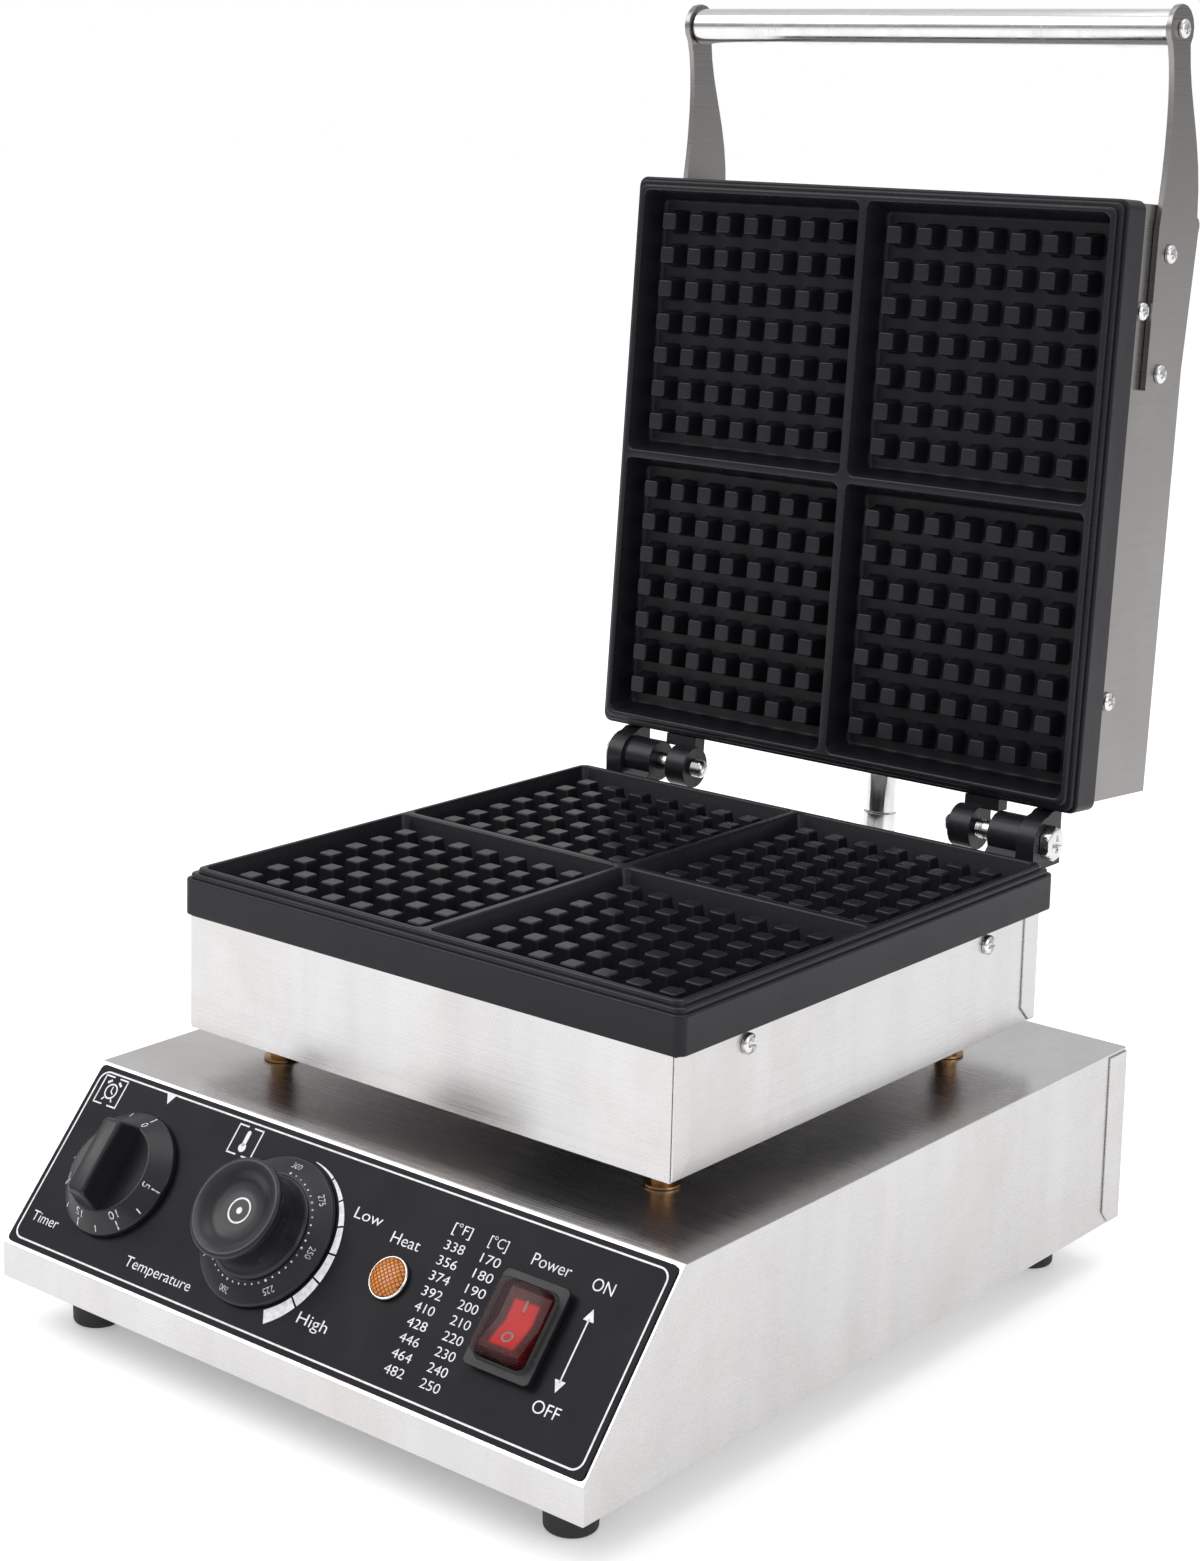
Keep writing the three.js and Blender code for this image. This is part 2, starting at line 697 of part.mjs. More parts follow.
function lowerCasing() {
  const top = PLATE_LEDGE_Z - PLATE_SKIRT - GAP;
  const inner = CASING_HALF_WIDTH - SHEET;
  const shell = cut(
    block(
      [-CASING_HALF_WIDTH, LOWER_CASING_FRONT, CASING_BOTTOM],
      [CASING_HALF_WIDTH, LOWER_CASING_REAR, top],
    ),
    block(
      [-inner, LOWER_CASING_FRONT + SHEET, CASING_BOTTOM + SHEET],
      [inner, LOWER_CASING_REAR - SHEET, top + 1],
    ),
  );
  const stems = pillarPlaces().map(([, x, y]) =>
    rod("z", [x, y], STEM_HOLE, CASING_BOTTOM - 1, CASING_BOTTOM + SHEET + 1),
  );
  return cut(shell, together(...stems), sideHoles(LOWER_SCREWS));
}

const ARM_SCREW_PLACES = ARM_SCREWS.map((along) => [ARM_CENTRE - ARM_SCREW_OFFSET, along]);

function upperCasing() {
  const front = UPPER_PLATE_BACK + GAP;
  const inner = CASING_HALF_WIDTH - SHEET;
  const shell = cut(
    block(
      [-CASING_HALF_WIDTH, front, LID_CASING_START],
      [CASING_HALF_WIDTH, LID_CASING_REAR, LID_CASING_END],
    ),
    block(
      [-inner, front - 1, LID_CASING_START + SHEET],
      [inner, LID_CASING_REAR - SHEET, LID_CASING_END - SHEET],
    ),
  );
  const wall = [LID_CASING_START - 1, LID_CASING_START + SHEET + 1];
  const conduit = rod("z", [0, FERRULE_BEHIND], GROMMET_GROOVE + 0.5, ...wall);
  return cut(shell, conduit, sideHoles([...UPPER_SCREWS, ...ARM_SCREW_PLACES]));
}

add(machine, "lower_casing", lowerCasing(), steel);
add(lid, "upper_casing", upperCasing(), steel);

Object.entries(SIDES).forEach(([side, sign]) => {
  CASING_SCREWS_ALONG.forEach((along, i) => {
    const seat = CASING_HALF_WIDTH + RUNNING;
    sideScrew(machine, `lower_casing_screw_${side}_${i + 1}`, sign, seat, ...LOWER_SCREWS[i]);
    sideScrew(lid, `upper_casing_screw_${side}_${i + 1}`, sign, seat, ...UPPER_SCREWS[i]);
  });
});

// ---------------------------------------------------------------- handle

const ARM_INNER = CASING_HALF_WIDTH + GAP;
const ARM_OUTER = ARM_INNER + BRACKET_THICKNESS;

const EYE_RADIUS = HANDLE_RADIUS + 2;

function curve(...points) {
  const bezier = new THREE.CubicBezierCurve(...points.map((p) => new THREE.Vector2(...p)));
  return bezier.getPoints(8).map((p) => [p.x, p.y]);
}

// An arm with a straight foot, a bump where it passes the casing's end, and a waisted neck that
// ends in a round eye. Drawn as (behind the hinge axis, along the lid).
function bracket(sign) {
  const front = ARM_CENTRE - ARM_WIDTH / 2;
  const rear = ARM_CENTRE + ARM_WIDTH / 2;
  const foot = ARM_SCREWS[0] - 7;
  const shoulder = LID_CASING_END - 7.5;
  const eye = [HANDLE_BEHIND, HANDLE_ALONG];
  const eyeArc = arc(eye, EYE_RADIUS, -35, 225, 12);
  const bump = arc([rear + 1.6, shoulder], 4, -30, 70, 4);
  const rearNeck = curve(
    bump.at(-1),
    [rear + 1, shoulder + 36],
    [HANDLE_BEHIND + 11.4, HANDLE_ALONG - 30],
    eyeArc[0],
  );
  const frontNeck = curve(
    eyeArc.at(-1),
    [HANDLE_BEHIND - 1, HANDLE_ALONG - 21],
    [front + 4.7, shoulder + 26],
    [front, shoulder - 2],
  );
  const outline = [
    [front, foot],
    [rear, foot],
    ...bump,
    ...rearNeck.slice(1, -1),
    ...eyeArc,
    ...frontNeck.slice(1),
  ];
  const plate = prismX(outline, ...span(sign, [ARM_INNER, ARM_OUTER]));
  const through = span(sign, [ARM_INNER - 1, ARM_OUTER + 1]);
  const holes = [...ARM_SCREW_PLACES, eye].map((centre) => rod("x", centre, SCREW_RADIUS + 0.3, ...through));
  return cut(plate, together(...holes));
}

function handleTube() {
  const end = ARM_INNER - GAP;
  const wall = 1.2;
  const plug = 12; // crimped insert that takes the end screws
  const inner = HANDLE_RADIUS - wall;
  const hole = SCREW_RADIUS + RUNNING;
  return turned(
    [
      [hole, -end],
      [HANDLE_RADIUS, -end],
      [HANDLE_RADIUS, end],
      [hole, end],
      [hole, end - plug],
      [inner, end - plug],
      [inner, plug - end],
      [hole, plug - end],
      [hole, -end],
    ],
    20,
  ).rotateY(Math.PI / 2);
}

add(lid, "handle_tube", handleTube(), brightSteel).position.set(0, HANDLE_BEHIND, HANDLE_ALONG);

Object.entries(SIDES).forEach(([side, sign]) => {
  add(lid, `handle_bracket_${side}`, bracket(sign), steel);
  const seat = ARM_OUTER + RUNNING;
  ARM_SCREW_PLACES.forEach((place, i) =>
    sideScrew(lid, `bracket_screw_${side}_${i + 1}`, sign, seat, ...place),
  );
  sideScrew(lid, `handle_screw_${side}`, sign, seat, HANDLE_BEHIND, HANDLE_ALONG);
});

// ---------------------------------------------------------------- heaters

const HEATER_RADIUS = 3.2;

// A tubular element bent into a flat loop with both cold ends turned away from the grid.
function heater() {
  const level = -PLATE_SKIRT - 3 * GAP - HEATER_RADIUS;
  const [reachX, reachY] = [78, 80];
  const leg = 12;
  const middle = PLATE_LENGTH / 2;
  const drop = level - 20;
  return tube(
    [
      [-leg, middle - 30, drop],
      [-leg, middle - 30, level - 9],
      [-leg, middle - 27, level - 2.6],
      [-leg, middle - 18, level],
      [-leg, middle + 40, level],
      [-leg - 22, middle + 46, level],
      [-40, middle - 60, level],
      [-reachX + 8, middle - reachY, level],
      [-reachX, middle - reachY + 12, level],
      [-reachX, middle + reachY - 12, level],
      [-reachX + 12, middle + reachY, level],
      [reachX - 12, middle + reachY, level],
      [reachX, middle + reachY - 12, level],
      [reachX, middle - reachY + 12, level],
      [reachX - 8, middle - reachY, level],
      [40, middle - 60, level],
      [leg + 22, middle + 46, level],
      [leg, middle + 40, level],
      [leg, middle - 18, level],
      [leg, middle - 27, level - 2.6],
      [leg, middle - 30, level - 9],
      [leg, middle - 30, drop],
    ],
    HEATER_RADIUS,
    6,
    64,
  );
}

add(machine, "lower_heater", heater().translate(0, PLATE_FRONT, PLATE_LEDGE_Z), heatTinted);
add(
  lid,
  "upper_heater",
  heater().rotateX(Math.PI / 2).translate(0, LID_FACE, HINGE_BEHIND_PLATE),
  heatTinted,
);

// ---------------------------------------------------------------- control panel

const FILM = 0.5;
const FILM_GAP = 0.2;
const FACE = FILM + FILM_GAP; // outer face of the printed film

function panelOverlay() {
  const margin = 1.5;
  const outline = roundedRectangle(BASE_WIDTH - 2 * margin, SLOPE_LENGTH - 2 * margin, 2, 2);
  const shifted = (points, x) => points.map((p) => p.add(new THREE.Vector2(x, 0)));
  const holes = [
    circlePoints(TIMER_BUSH + 0.5, 16, [TIMER_X, 0]),
    circlePoints(TIMER_BUSH + 0.5, 16, [THERMOSTAT_X, 0]),
    circlePoints(LAMP_BARREL + 0.5, 16, [LAMP_X, 0]),
    shifted(roundedRectangle(SWITCH_CUTOUT[0] + 0.6, SWITCH_CUTOUT[1] + 0.6, 1, 1), SWITCH_X),
  ];
  return extrude(outline, FILM, holes).translate(0, CONTROL_V, FILM_GAP);
}

add(panel, "panel_overlay", panelOverlay(), panelFilm);

const SHAFT_RADIUS = 3;

// Behind-panel body with a bush through the sheet and a bore for its spindle.
function controlBody(width, length, depth) {
  const back = -SHEET - GAP - depth;
  return cut(
    join(
      extrude(roundedRectangle(width, length, 3, 2), depth).translate(0, 0, back),
      rod("z", [0, 0], TIMER_BUSH, -SHEET - GAP - 1, 3, 16),
    ),
    rod("z", [0, 0], SHAFT_RADIUS + RUNNING, back + 6, 4, 16),
  );
}

function spindle(depth, length) {
  const back = -SHEET - GAP - depth + 6.5;
  return cut(
    extrude(circlePoints(SHAFT_RADIUS, 16), length - back).translate(0, 0, back),
    block([1.8, -4, 4], [4, 4, length + 1]),
  );
}

const KNOB_GAP = 0.5;

// The spindle's seat in a knob: a D-shaped blind hole.
function spindleSocket(depth) {
  return cut(
    extrude(circlePoints(SHAFT_RADIUS + RUNNING, 16), depth + 1).translate(0, 0, -1),
    block([1.8 + RUNNING, -5, -2], [5, 5, depth + 1]),
  );
}

const TIMER_DEPTH = 26;
const THERMOSTAT_DEPTH = 24;
const SPINDLE_TOP = 13;

function timerKnob() {
  const skirt = turned(
    [
      [0, 3],
      [5.5, 3],
      [5.5, 0],
      [8, 0],
      [8, 4],
      [23.5, 2],
      [24.6, 0],
      [25.7, 0],
      [25.5, 2.2],
      [18.2, 8.2],
      [0, 6.6],
    ],
    26,
  );
  const bar = [
    [-19, 5],
    [19, 5],
    [16.6, 18.6],
    [15, 19.6],
    [-15, 19.6],
    [-16.6, 18.6],
  ];
  const grip = frustum([0, 0], [11, 38], [8.2, 31], 3.5, 19.6);
  const side = prismX(bar, -6, 6);
  const clipped = toGeometry(toSolid(grip).intersect(toSolid(side)));
  return cut(join(skirt, clipped), spindleSocket(SPINDLE_TOP - FACE));
}

function thermostatKnob() {
  const body = turned(
    [
      [0, 3],
      [5.5, 3],
      [5.5, 0],
      [8, 0],
      [8, 3.4],
      [27.5, 2],
      [28.5, 0],
      [29.6, 0],
      [29.4, 1.8],
      [20.8, 5],
      [19.8, 5.4],
      [17.8, 13],
      [19.2, 19.5],
      [20, 21.6],
      [19.6, 23],
      [18.2, 23.4],
      [12.5, 20.6],
      [0, 19.4],
    ],
    28,
  );
  return cut(body, spindleSocket(SPINDLE_TOP - FACE));
}

[
  ["timer", TIMER_X, [44, 44, TIMER_DEPTH], timerKnob()],
  ["thermostat", THERMOSTAT_X, [34, 40, THERMOSTAT_DEPTH], thermostatKnob()],
].forEach(([name, x, size, knob]) => {
  const depth = size[2];
  add(panel, `${name}_body`, controlBody(...size), blackPlastic).position.set(x, CONTROL_V, 0);
  add(panel, `${name}_spindle`, spindle(depth, SPINDLE_TOP - 0.5), brightSteel).position.set(x, CONTROL_V, 0);
  add(panel, `${name}_knob`, knob, blackPlastic).position.set(x, CONTROL_V, FACE + KNOB_GAP);
});

function lampHolder() {
  return turned(
    [
      [4.6, -22],
      [LAMP_BARREL, -22],
      [LAMP_BARREL, FACE + GAP],
      [8.2, FACE + GAP],
      [8.2, FACE + GAP + 1],
      [7.4, FACE + GAP + 1.8],
      [6.6, FACE + GAP + 1.8],
      [6.6, FACE + GAP + 0.8],
      [4.6, FACE + GAP + 0.8],
      [4.6, -22],
    ],
    18,
  );
}

function lampLens() {
  const seat = FACE + GAP + 1;
  return turned(
    [
      [0, -12],
      [4.4, -12],
      [4.4, seat],
      [6.4, seat],
      [6.4, seat + 1.4],
      [4.4, seat + 2.3],
      [0, seat + 2.8],
    ],
    16,
  );
}

add(panel, "lamp_holder", lampHolder(), brightSteel).position.set(LAMP_X, CONTROL_V, 0);
add(panel, "lamp_lens", lampLens(), amberLens).position.set(LAMP_X, CONTROL_V, 0);

const BEZEL = [28, 34.4];
const SWITCH_DEPTH = 20;
const ROCKER = [18.6, 24.6];
const ROCKER_TILT = THREE.MathUtils.degToRad(10); // each way from level
const ROCKER_PIVOT = -1.5;
const PIN_RADIUS = 1.5;
const BEZEL_TOP = FACE + GAP + 2;

function switchHousing() {
  const [width, length] = SWITCH_CUTOUT.map((size) => size - 0.4);
  const hollow = [ROCKER[0] + 0.8, ROCKER[1] + 3];
  const pins = rod("x", [0, ROCKER_PIVOT], PIN_RADIUS + RUNNING, -10.4, 10.4, 12);
  const legs = [-9, 0, 9].map((y) =>
    block([-2.4, y - 0.4, -SWITCH_DEPTH - 7], [2.4, y + 0.4, -SWITCH_DEPTH + 1]),
  );
  const shell = cut(
    join(
      extrude(roundedRectangle(width, length, 1, 1), SWITCH_DEPTH + 1.5).translate(0, 0, -SWITCH_DEPTH),
      extrude(roundedRectangle(...BEZEL, 2, 2), BEZEL_TOP - FACE - GAP).translate(0, 0, FACE + GAP),
    ),
    extrude(roundedRectangle(...hollow, 1, 1), SWITCH_DEPTH + 4).translate(0, 0, -SWITCH_DEPTH + 4),
    pins,
  );
  return join(shell, together(...legs));
}

// Rocker with two facets that meet over its pivot; its lower half stands proud.
function switchRocker() {
  const half = ROCKER[1] / 2;
  const profile = [
    [-half + 3, -8],
    [half - 3, -8],
    [half, 7.2],
    [half - 1, 8],
    [0, 5.6],
    [-half + 1, 8],
    [-half, 7.2],
  ];
  return join(
    prismX(profile, -ROCKER[0] / 2, ROCKER[0] / 2),
    rod("x", [0, 0], PIN_RADIUS, -10.2, 10.2, 12),
  );
}

// Splash cover: a flange on the bezel and a thin domed cap over the rocker.
function switchCover() {
  const wall = 0.9;
  const [width, length] = BEZEL.map((size) => size + 1.6);
  const cap = [ROCKER[0] + 5, ROCKER[1] + 5];
  const high = 11.5;
  const low = BEZEL_TOP + 0.2;
  return cut(
    join(
      extrude(roundedRectangle(width, length, 2.5, 2), 1.2).translate(0, 0, low),
      frustum([0, 0], cap, cap.map((size) => size - 3), low, high),
    ),
    frustum(
      [0, 0],
      cap.map((size) => size - 2 * wall),
      cap.map((size) => size - 2 * wall - 3),
      low - 1,
      high - wall,
    ),
  );
}

add(panel, "switch_housing", switchHousing(), blackPlastic).position.set(SWITCH_X, CONTROL_V, 0);
const rocker = add(panel, "switch_rocker", switchRocker(), redPlastic);
rocker.position.set(SWITCH_X, CONTROL_V, ROCKER_PIVOT);
rocker.rotation.x = -ROCKER_TILT;
add(panel, "switch_cover", switchCover(), clearVinyl).position.set(SWITCH_X, CONTROL_V, 0);

// ---------------------------------------------------------------- wiring inside the base

const FLOOR = COVER_BOTTOM + SHEET + GAP;
const TERMINAL_Y = BASE_DEPTH - 56;

function terminalBlock() {
  const body = block([-24, -10, 0], [24, 10, 16]);
  const clamps = [-16, 0, 16].map((x) => rod("y", [8, x], 2.6, -11, 11, 10));
  const screws = [-16, 0, 16].map((x) => rod("z", [x, 0], 2.2, 8, 17, 10));
  return cut(body, together(...clamps), together(...screws));
}

add(machine, "terminal_block", terminalBlock(), ceramic).position.set(40, TERMINAL_Y, FLOOR);

const [, , FRONT_PILLAR_Y] = pillarPlaces()[0];

// Sensing line of the thermostat: up through the hollow front left pillar to a bulb under the grid.
function thermostatLine() {
  const bulbLevel = CASING_BOTTOM + 24;
  const capillary = tube(
    [
      [-50, 62, 52],
      [-62, 76, 50],
      [-85, 92, 58],
      [-PILLAR_X, FRONT_PILLAR_Y, BASE_TOP - 16],
      [-PILLAR_X, FRONT_PILLAR_Y, BASE_TOP + 6],
      [-PILLAR_X, FRONT_PILLAR_Y, CASING_BOTTOM + 7.6],
      [-PILLAR_X + 8, FRONT_PILLAR_Y + 12, bulbLevel - 2],
      [-50, FRONT_PILLAR_Y + 26, bulbLevel],
    ],
    1.2,
    5,
    32,
  );
  return join(capillary, rod("x", [FRONT_PILLAR_Y + 27, bulbLevel], 4, -51, 30, 12));
}

add(machine, "thermostat_line", thermostatLine(), copper);

// ---------------------------------------------------------------- conduit between base and lid

const FERRULE_TOP = LID_CASING_START + SHEET + 8;
const FERRULE_COLLAR = -13;
const FERRULE_END = -24;

function ferrule() {
  const bore = HOSE_RADIUS - 2;
  return turned(
    [
      [bore, FERRULE_END],
      [HOSE_RADIUS + 0.9, FERRULE_END],
      [HOSE_RADIUS + 0.9, FERRULE_COLLAR],
      [HOSE_RADIUS, FERRULE_COLLAR],
      [HOSE_RADIUS, FERRULE_TOP],
      [bore, FERRULE_TOP],
      [bore, FERRULE_END],
    ],
    16,
  );
}

function grommet() {
  const [bore, groove, flange] = [HOSE_RADIUS + GAP, GROMMET_GROOVE, HOSE_RADIUS + 4];
  const low = LID_CASING_START - GAP;
  const high = LID_CASING_START + SHEET + GAP;
  return turned(
    [
      [bore, low - 1.8],
      [flange - 1, low - 1.8],
      [flange, low],
      [groove, low],
      [groove, high],
      [flange, high],
      [flange, high + 1.6],
      [bore, high + 1.6],
      [bore, low - 1.8],
    ],
    14,
  );
}

add(lid, "conduit_ferrule", ferrule(), brightSteel).position.y = FERRULE_BEHIND;
add(lid, "conduit_grommet", grommet(), rubber).position.y = FERRULE_BEHIND;

const GLAND_FACE = BASE_DEPTH + 12;

function gland() {
  const bore = HOSE_RADIUS - 1;
  const hex = extrude(circlePoints(11.5, 6), 7).translate(0, 0, GAP);
  const body = turned(
    [
      [bore, -9],
      [GLAND_THREAD, -9],
      [GLAND_THREAD, 1],
      [9.6, 6],
      [9.6, 10],
      [8.2, GLAND_FACE - BASE_DEPTH],
      [bore, GLAND_FACE - BASE_DEPTH],
      [bore, -9],
    ],
    12,
  );
  return cut(join(hex, body), rod("z", [0, 0], bore, -10, 14)).rotateX(-Math.PI / 2);
}

[["conduit_gland", HOSE_GLAND, brightSteel], ["cord_gland", CORD_GLAND, blackPlastic]].forEach(
  ([name, [x, z], material]) => add(machine, name, gland(), material).position.set(x, BASE_DEPTH, z),
);

// Spiral hose: hangs in a slack loop behind the base so that the lid can fold down.
function conduitHose() {
  const end = new THREE.Vector3(0, FERRULE_BEHIND, FERRULE_END - GAP);
  lid.updateMatrix();
  end.applyMatrix4(lid.matrix);
  const down = new THREE.Vector3(0, Math.sin(-LID_LEAN), -Math.cos(LID_LEAN));
  const [x, z] = HOSE_GLAND;
  return tube(
    [
      end.toArray(),
      end.clone().addScaledVector(down, 12).toArray(),
      [-4, end.y + 1, 108],
      [-8, end.y + 8, 70],
      [4, end.y + 16, 38],
      [32, end.y + 18, 26],
      [56, end.y + 8, 32],
      [x, GLAND_FACE + 9, z],
      [x, GLAND_FACE + 2 * GAP, z],
    ],
    HOSE_RADIUS,
    8,
    40,
  );
}

add(machine, "conduit_hose", conduitHose(), brightSteel);

// ---------------------------------------------------------------- reference point

// Under the middle of the whole open machine, at foot level.
const extent = new THREE.Box3().setFromObject(machine, true);
machine.position.y = -(extent.min.y + extent.max.y) / 2;

export default machine;
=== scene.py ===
"""A countertop waffle maker with its lid open: finishes, print and fine pieces around the CAD frame.

Metres, +Z up, the control panel towards -Y. Sizes in millimetres are multiplied by MM.
"""

import json
import math

import bmesh
import bpy
from mathutils import Matrix, Vector


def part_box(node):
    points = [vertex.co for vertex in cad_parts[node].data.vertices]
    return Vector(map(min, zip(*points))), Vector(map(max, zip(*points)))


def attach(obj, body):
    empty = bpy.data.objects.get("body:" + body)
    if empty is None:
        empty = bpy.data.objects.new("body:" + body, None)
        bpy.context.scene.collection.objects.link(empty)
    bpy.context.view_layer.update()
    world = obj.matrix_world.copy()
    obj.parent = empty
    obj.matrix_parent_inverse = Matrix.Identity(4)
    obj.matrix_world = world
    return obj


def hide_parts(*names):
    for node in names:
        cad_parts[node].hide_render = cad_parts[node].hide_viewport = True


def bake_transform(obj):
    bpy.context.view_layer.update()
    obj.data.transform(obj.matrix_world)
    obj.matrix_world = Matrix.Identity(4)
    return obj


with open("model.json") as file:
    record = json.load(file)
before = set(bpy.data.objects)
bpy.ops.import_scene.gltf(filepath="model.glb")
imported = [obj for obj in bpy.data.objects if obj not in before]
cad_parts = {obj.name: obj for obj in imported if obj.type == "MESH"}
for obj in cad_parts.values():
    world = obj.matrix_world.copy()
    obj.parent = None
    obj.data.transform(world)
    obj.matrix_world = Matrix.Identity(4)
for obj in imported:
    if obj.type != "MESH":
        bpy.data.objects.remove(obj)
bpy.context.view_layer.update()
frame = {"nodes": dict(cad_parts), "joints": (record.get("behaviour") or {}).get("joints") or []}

MM = 0.001
AXIS = 0.05  # radius in millimetres at which a turned profile meets its axis
SCENE = bpy.context.scene
JOINTS = {joint["name"]: joint for joint in frame["joints"]}
NODES = frame["nodes"]


# ---- places taken from the frame

def centre(node):
    low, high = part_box(node)
    return (low + high) / 2


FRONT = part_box("base_casing")[0].y

# The panel: x across, y up the slope, z out of it, on the sheet under the middle of the film.
OUT = -Vector(JOINTS["timer_turn"]["axis"]).normalized()
ACROSS = Vector((1, 0, 0))
UP_SLOPE = OUT.cross(ACROSS)


def axes(x, y, z, origin):
    """The matrix with these three axes as its columns."""
    matrix = Matrix((x, y, z)).transposed().to_4x4()
    matrix.translation = origin
    return matrix


TIMER = Vector(JOINTS["timer_turn"]["pos_m"])
THERMOSTAT = Vector(JOINTS["thermostat_turn"]["pos_m"])
ROCKER = Vector(JOINTS["rocker_tilt"]["pos_m"])
PANEL = axes(ACROSS, UP_SLOPE, OUT, Vector((0, TIMER.y, TIMER.z)))
FILM = 0.5 * MM
FACE = (centre("panel_overlay") - PANEL.translation).dot(OUT) + FILM / 2
LAMP_X = centre("lamp_lens").x
SWITCH_X = ROCKER.x

# The lid: y from the grid's face to the casing's back, z away from the hinge.
HINGE = Vector(JOINTS["lid_hinge"]["pos_m"])
LEAN = math.radians(3.9)
LID = Matrix.Translation(HINGE) @ Matrix.Rotation(-LEAN, 4, "X")


# ---- meshes

def add_object(name, mesh, material, body):
    """Links a mesh as a piece that rides on a body and takes the given material."""
    piece = bpy.data.objects.new(name, mesh)
    SCENE.collection.objects.link(piece)
    mesh.materials.clear()
    mesh.materials.append(material)
    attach(piece, body)
    return piece


def stand_in(node, mesh, material, body):
    """Links a finely made piece in a CAD node's place."""
    piece = add_object(f"{node}_detail", mesh, material, body)
    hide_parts(node)
    return piece


def finished(work, name):
    mesh = bpy.data.meshes.new(name)
    work.to_mesh(mesh)
    work.free()
    return mesh


def placed(matrix, x, y, z):
    """A point given in millimetres along the matrix's axes."""
    return matrix @ (Vector((x, y, z)) * MM)


def circle(radius, count, start=0.0):
    """Points of a circle about the origin; the first may be turned by a share of a step."""
    turns = [2 * math.pi * (i + start) / count for i in range(count)]
    return [(radius * math.cos(turn), radius * math.sin(turn)) for turn in turns]


def polar(radius, turn):
    return (radius * math.cos(turn), radius * math.sin(turn))


def tie(work, rows):
    """Faces between rows of vertices that each close on themselves."""
    for low, high in zip(rows, rows[1:]):
        for i in range(len(low)):
            j = (i + 1) % len(low)
            work.faces.new((low[i], low[j], high[j], high[i]))


def shade(mesh, angle=35):
    """Smooth faces, with creases where two faces meet at more than the angle."""
    limit = math.radians(angle)
    work = bmesh.new()
    work.from_mesh(mesh)
    bmesh.ops.recalc_face_normals(work, faces=work.faces)
    for face in work.faces:
        face.smooth = True
    for edge in work.edges:
        edge.smooth = len(edge.link_faces) == 2 and edge.calc_face_angle(0) < limit
    work.to_mesh(mesh)
    work.free()
    return mesh


def skin(name, rings, joined=False):
    """A mesh of rings of points, each tied to the next; the last may be tied back to the first."""
    work = bmesh.new()
    rows = [[work.verts.new(point) for point in ring] for ring in rings]
    tie(work, rows + rows[:1] if joined else rows)
    if not joined:
        work.faces.new(rows[0][::-1])
        work.faces.new(rows[-1])
    return shade(finished(work, name))


def lathe(name, profile, matrix, segments=64):
    """A profile of (radius, height) in millimetres turned about the matrix's z axis. It starts and
    ends near the axis, or closes on itself."""
    joined = profile[0] == profile[-1]
    rings = [
        [placed(matrix, x, y, height) for x, y in circle(radius, segments)]
        for radius, height in (profile[:-1] if joined else profile)
    ]
    return skin(name, rings, joined)


def rounded(points, radius, steps=4):
    """A profile whose inner corners are rounded off."""
    out = [points[0]]
    for before, corner, after in zip(points, points[1:], points[2:]):
        a, b, c = Vector(before), Vector(corner), Vector(after)
        reach = min(radius, (a - b).length / 2.1, (c - b).length / 2.1)
        start = b + (a - b).normalized() * reach
        end = b + (c - b).normalized() * reach
        for i in range(steps + 1):
            t = i / steps
            out.append(tuple(start * (1 - t) ** 2 + b * 2 * t * (1 - t) + end * t ** 2))
    out.append(points[-1])
    return out


def rectangle(width, length, radius, steps=6):
    """Points of a rounded rectangle about the origin, in millimetres."""
    points = []
    for corner, (sx, sy) in enumerate(((1, 1), (-1, 1), (-1, -1), (1, -1))):
        for i in range(steps + 1):
            turn = math.pi / 2 * (corner + i / steps)
            x = sx * (width / 2 - radius) + radius * math.cos(turn)
            y = sy * (length / 2 - radius) + radius * math.sin(turn)
            points.append((x, y))
    return points


def shifted(points, x, y):
    return [(px + x, py + y) for px, py in points]


def loft(name, levels, matrix, joined=False):
    """A closed body through rounded rectangles given as (width, length, radius, height)."""
    rings = [
        [placed(matrix, x, y, height) for x, y in rectangle(width, length, radius)]
        for width, length, radius, height in levels
    ]
    return skin(name, rings[:-1] if joined else rings, joined)


def refine(node, material, radius=0.6, segments=3):
    """Gives a CAD node its finish, merges its flat facets and rounds its edges."""
    piece = NODES[node]
    mesh = piece.data
    for attribute in ("custom_normal", "sharp_face", "sharp_edge"):
        if attribute in mesh.attributes:
            mesh.attributes.remove(mesh.attributes[attribute])
    mesh.polygons.foreach_set("use_smooth", [True] * len(mesh.polygons))
    modifiers = (
        ("weld", "WELD", {"merge_threshold": 0.002 * MM}),
        ("flat", "DECIMATE", {"decimate_type": "DISSOLVE", "angle_limit": math.radians(0.5)}),
        ("round", "BEVEL", {
            "width": radius * MM,
            "segments": segments,
            "limit_method": "ANGLE",
            "angle_limit": math.radians(28),
            "miter_outer": "MITER_ARC",
        }),
        ("normals", "WEIGHTED_NORMAL", {"weight": 90}),
    )
    for name, kind, settings in modifiers:
        modifier = piece.modifiers.new(name, kind)
        for key, value in settings.items():
            setattr(modifier, key, value)
    mesh.materials.clear()
    mesh.materials.append(material)


# ---- materials

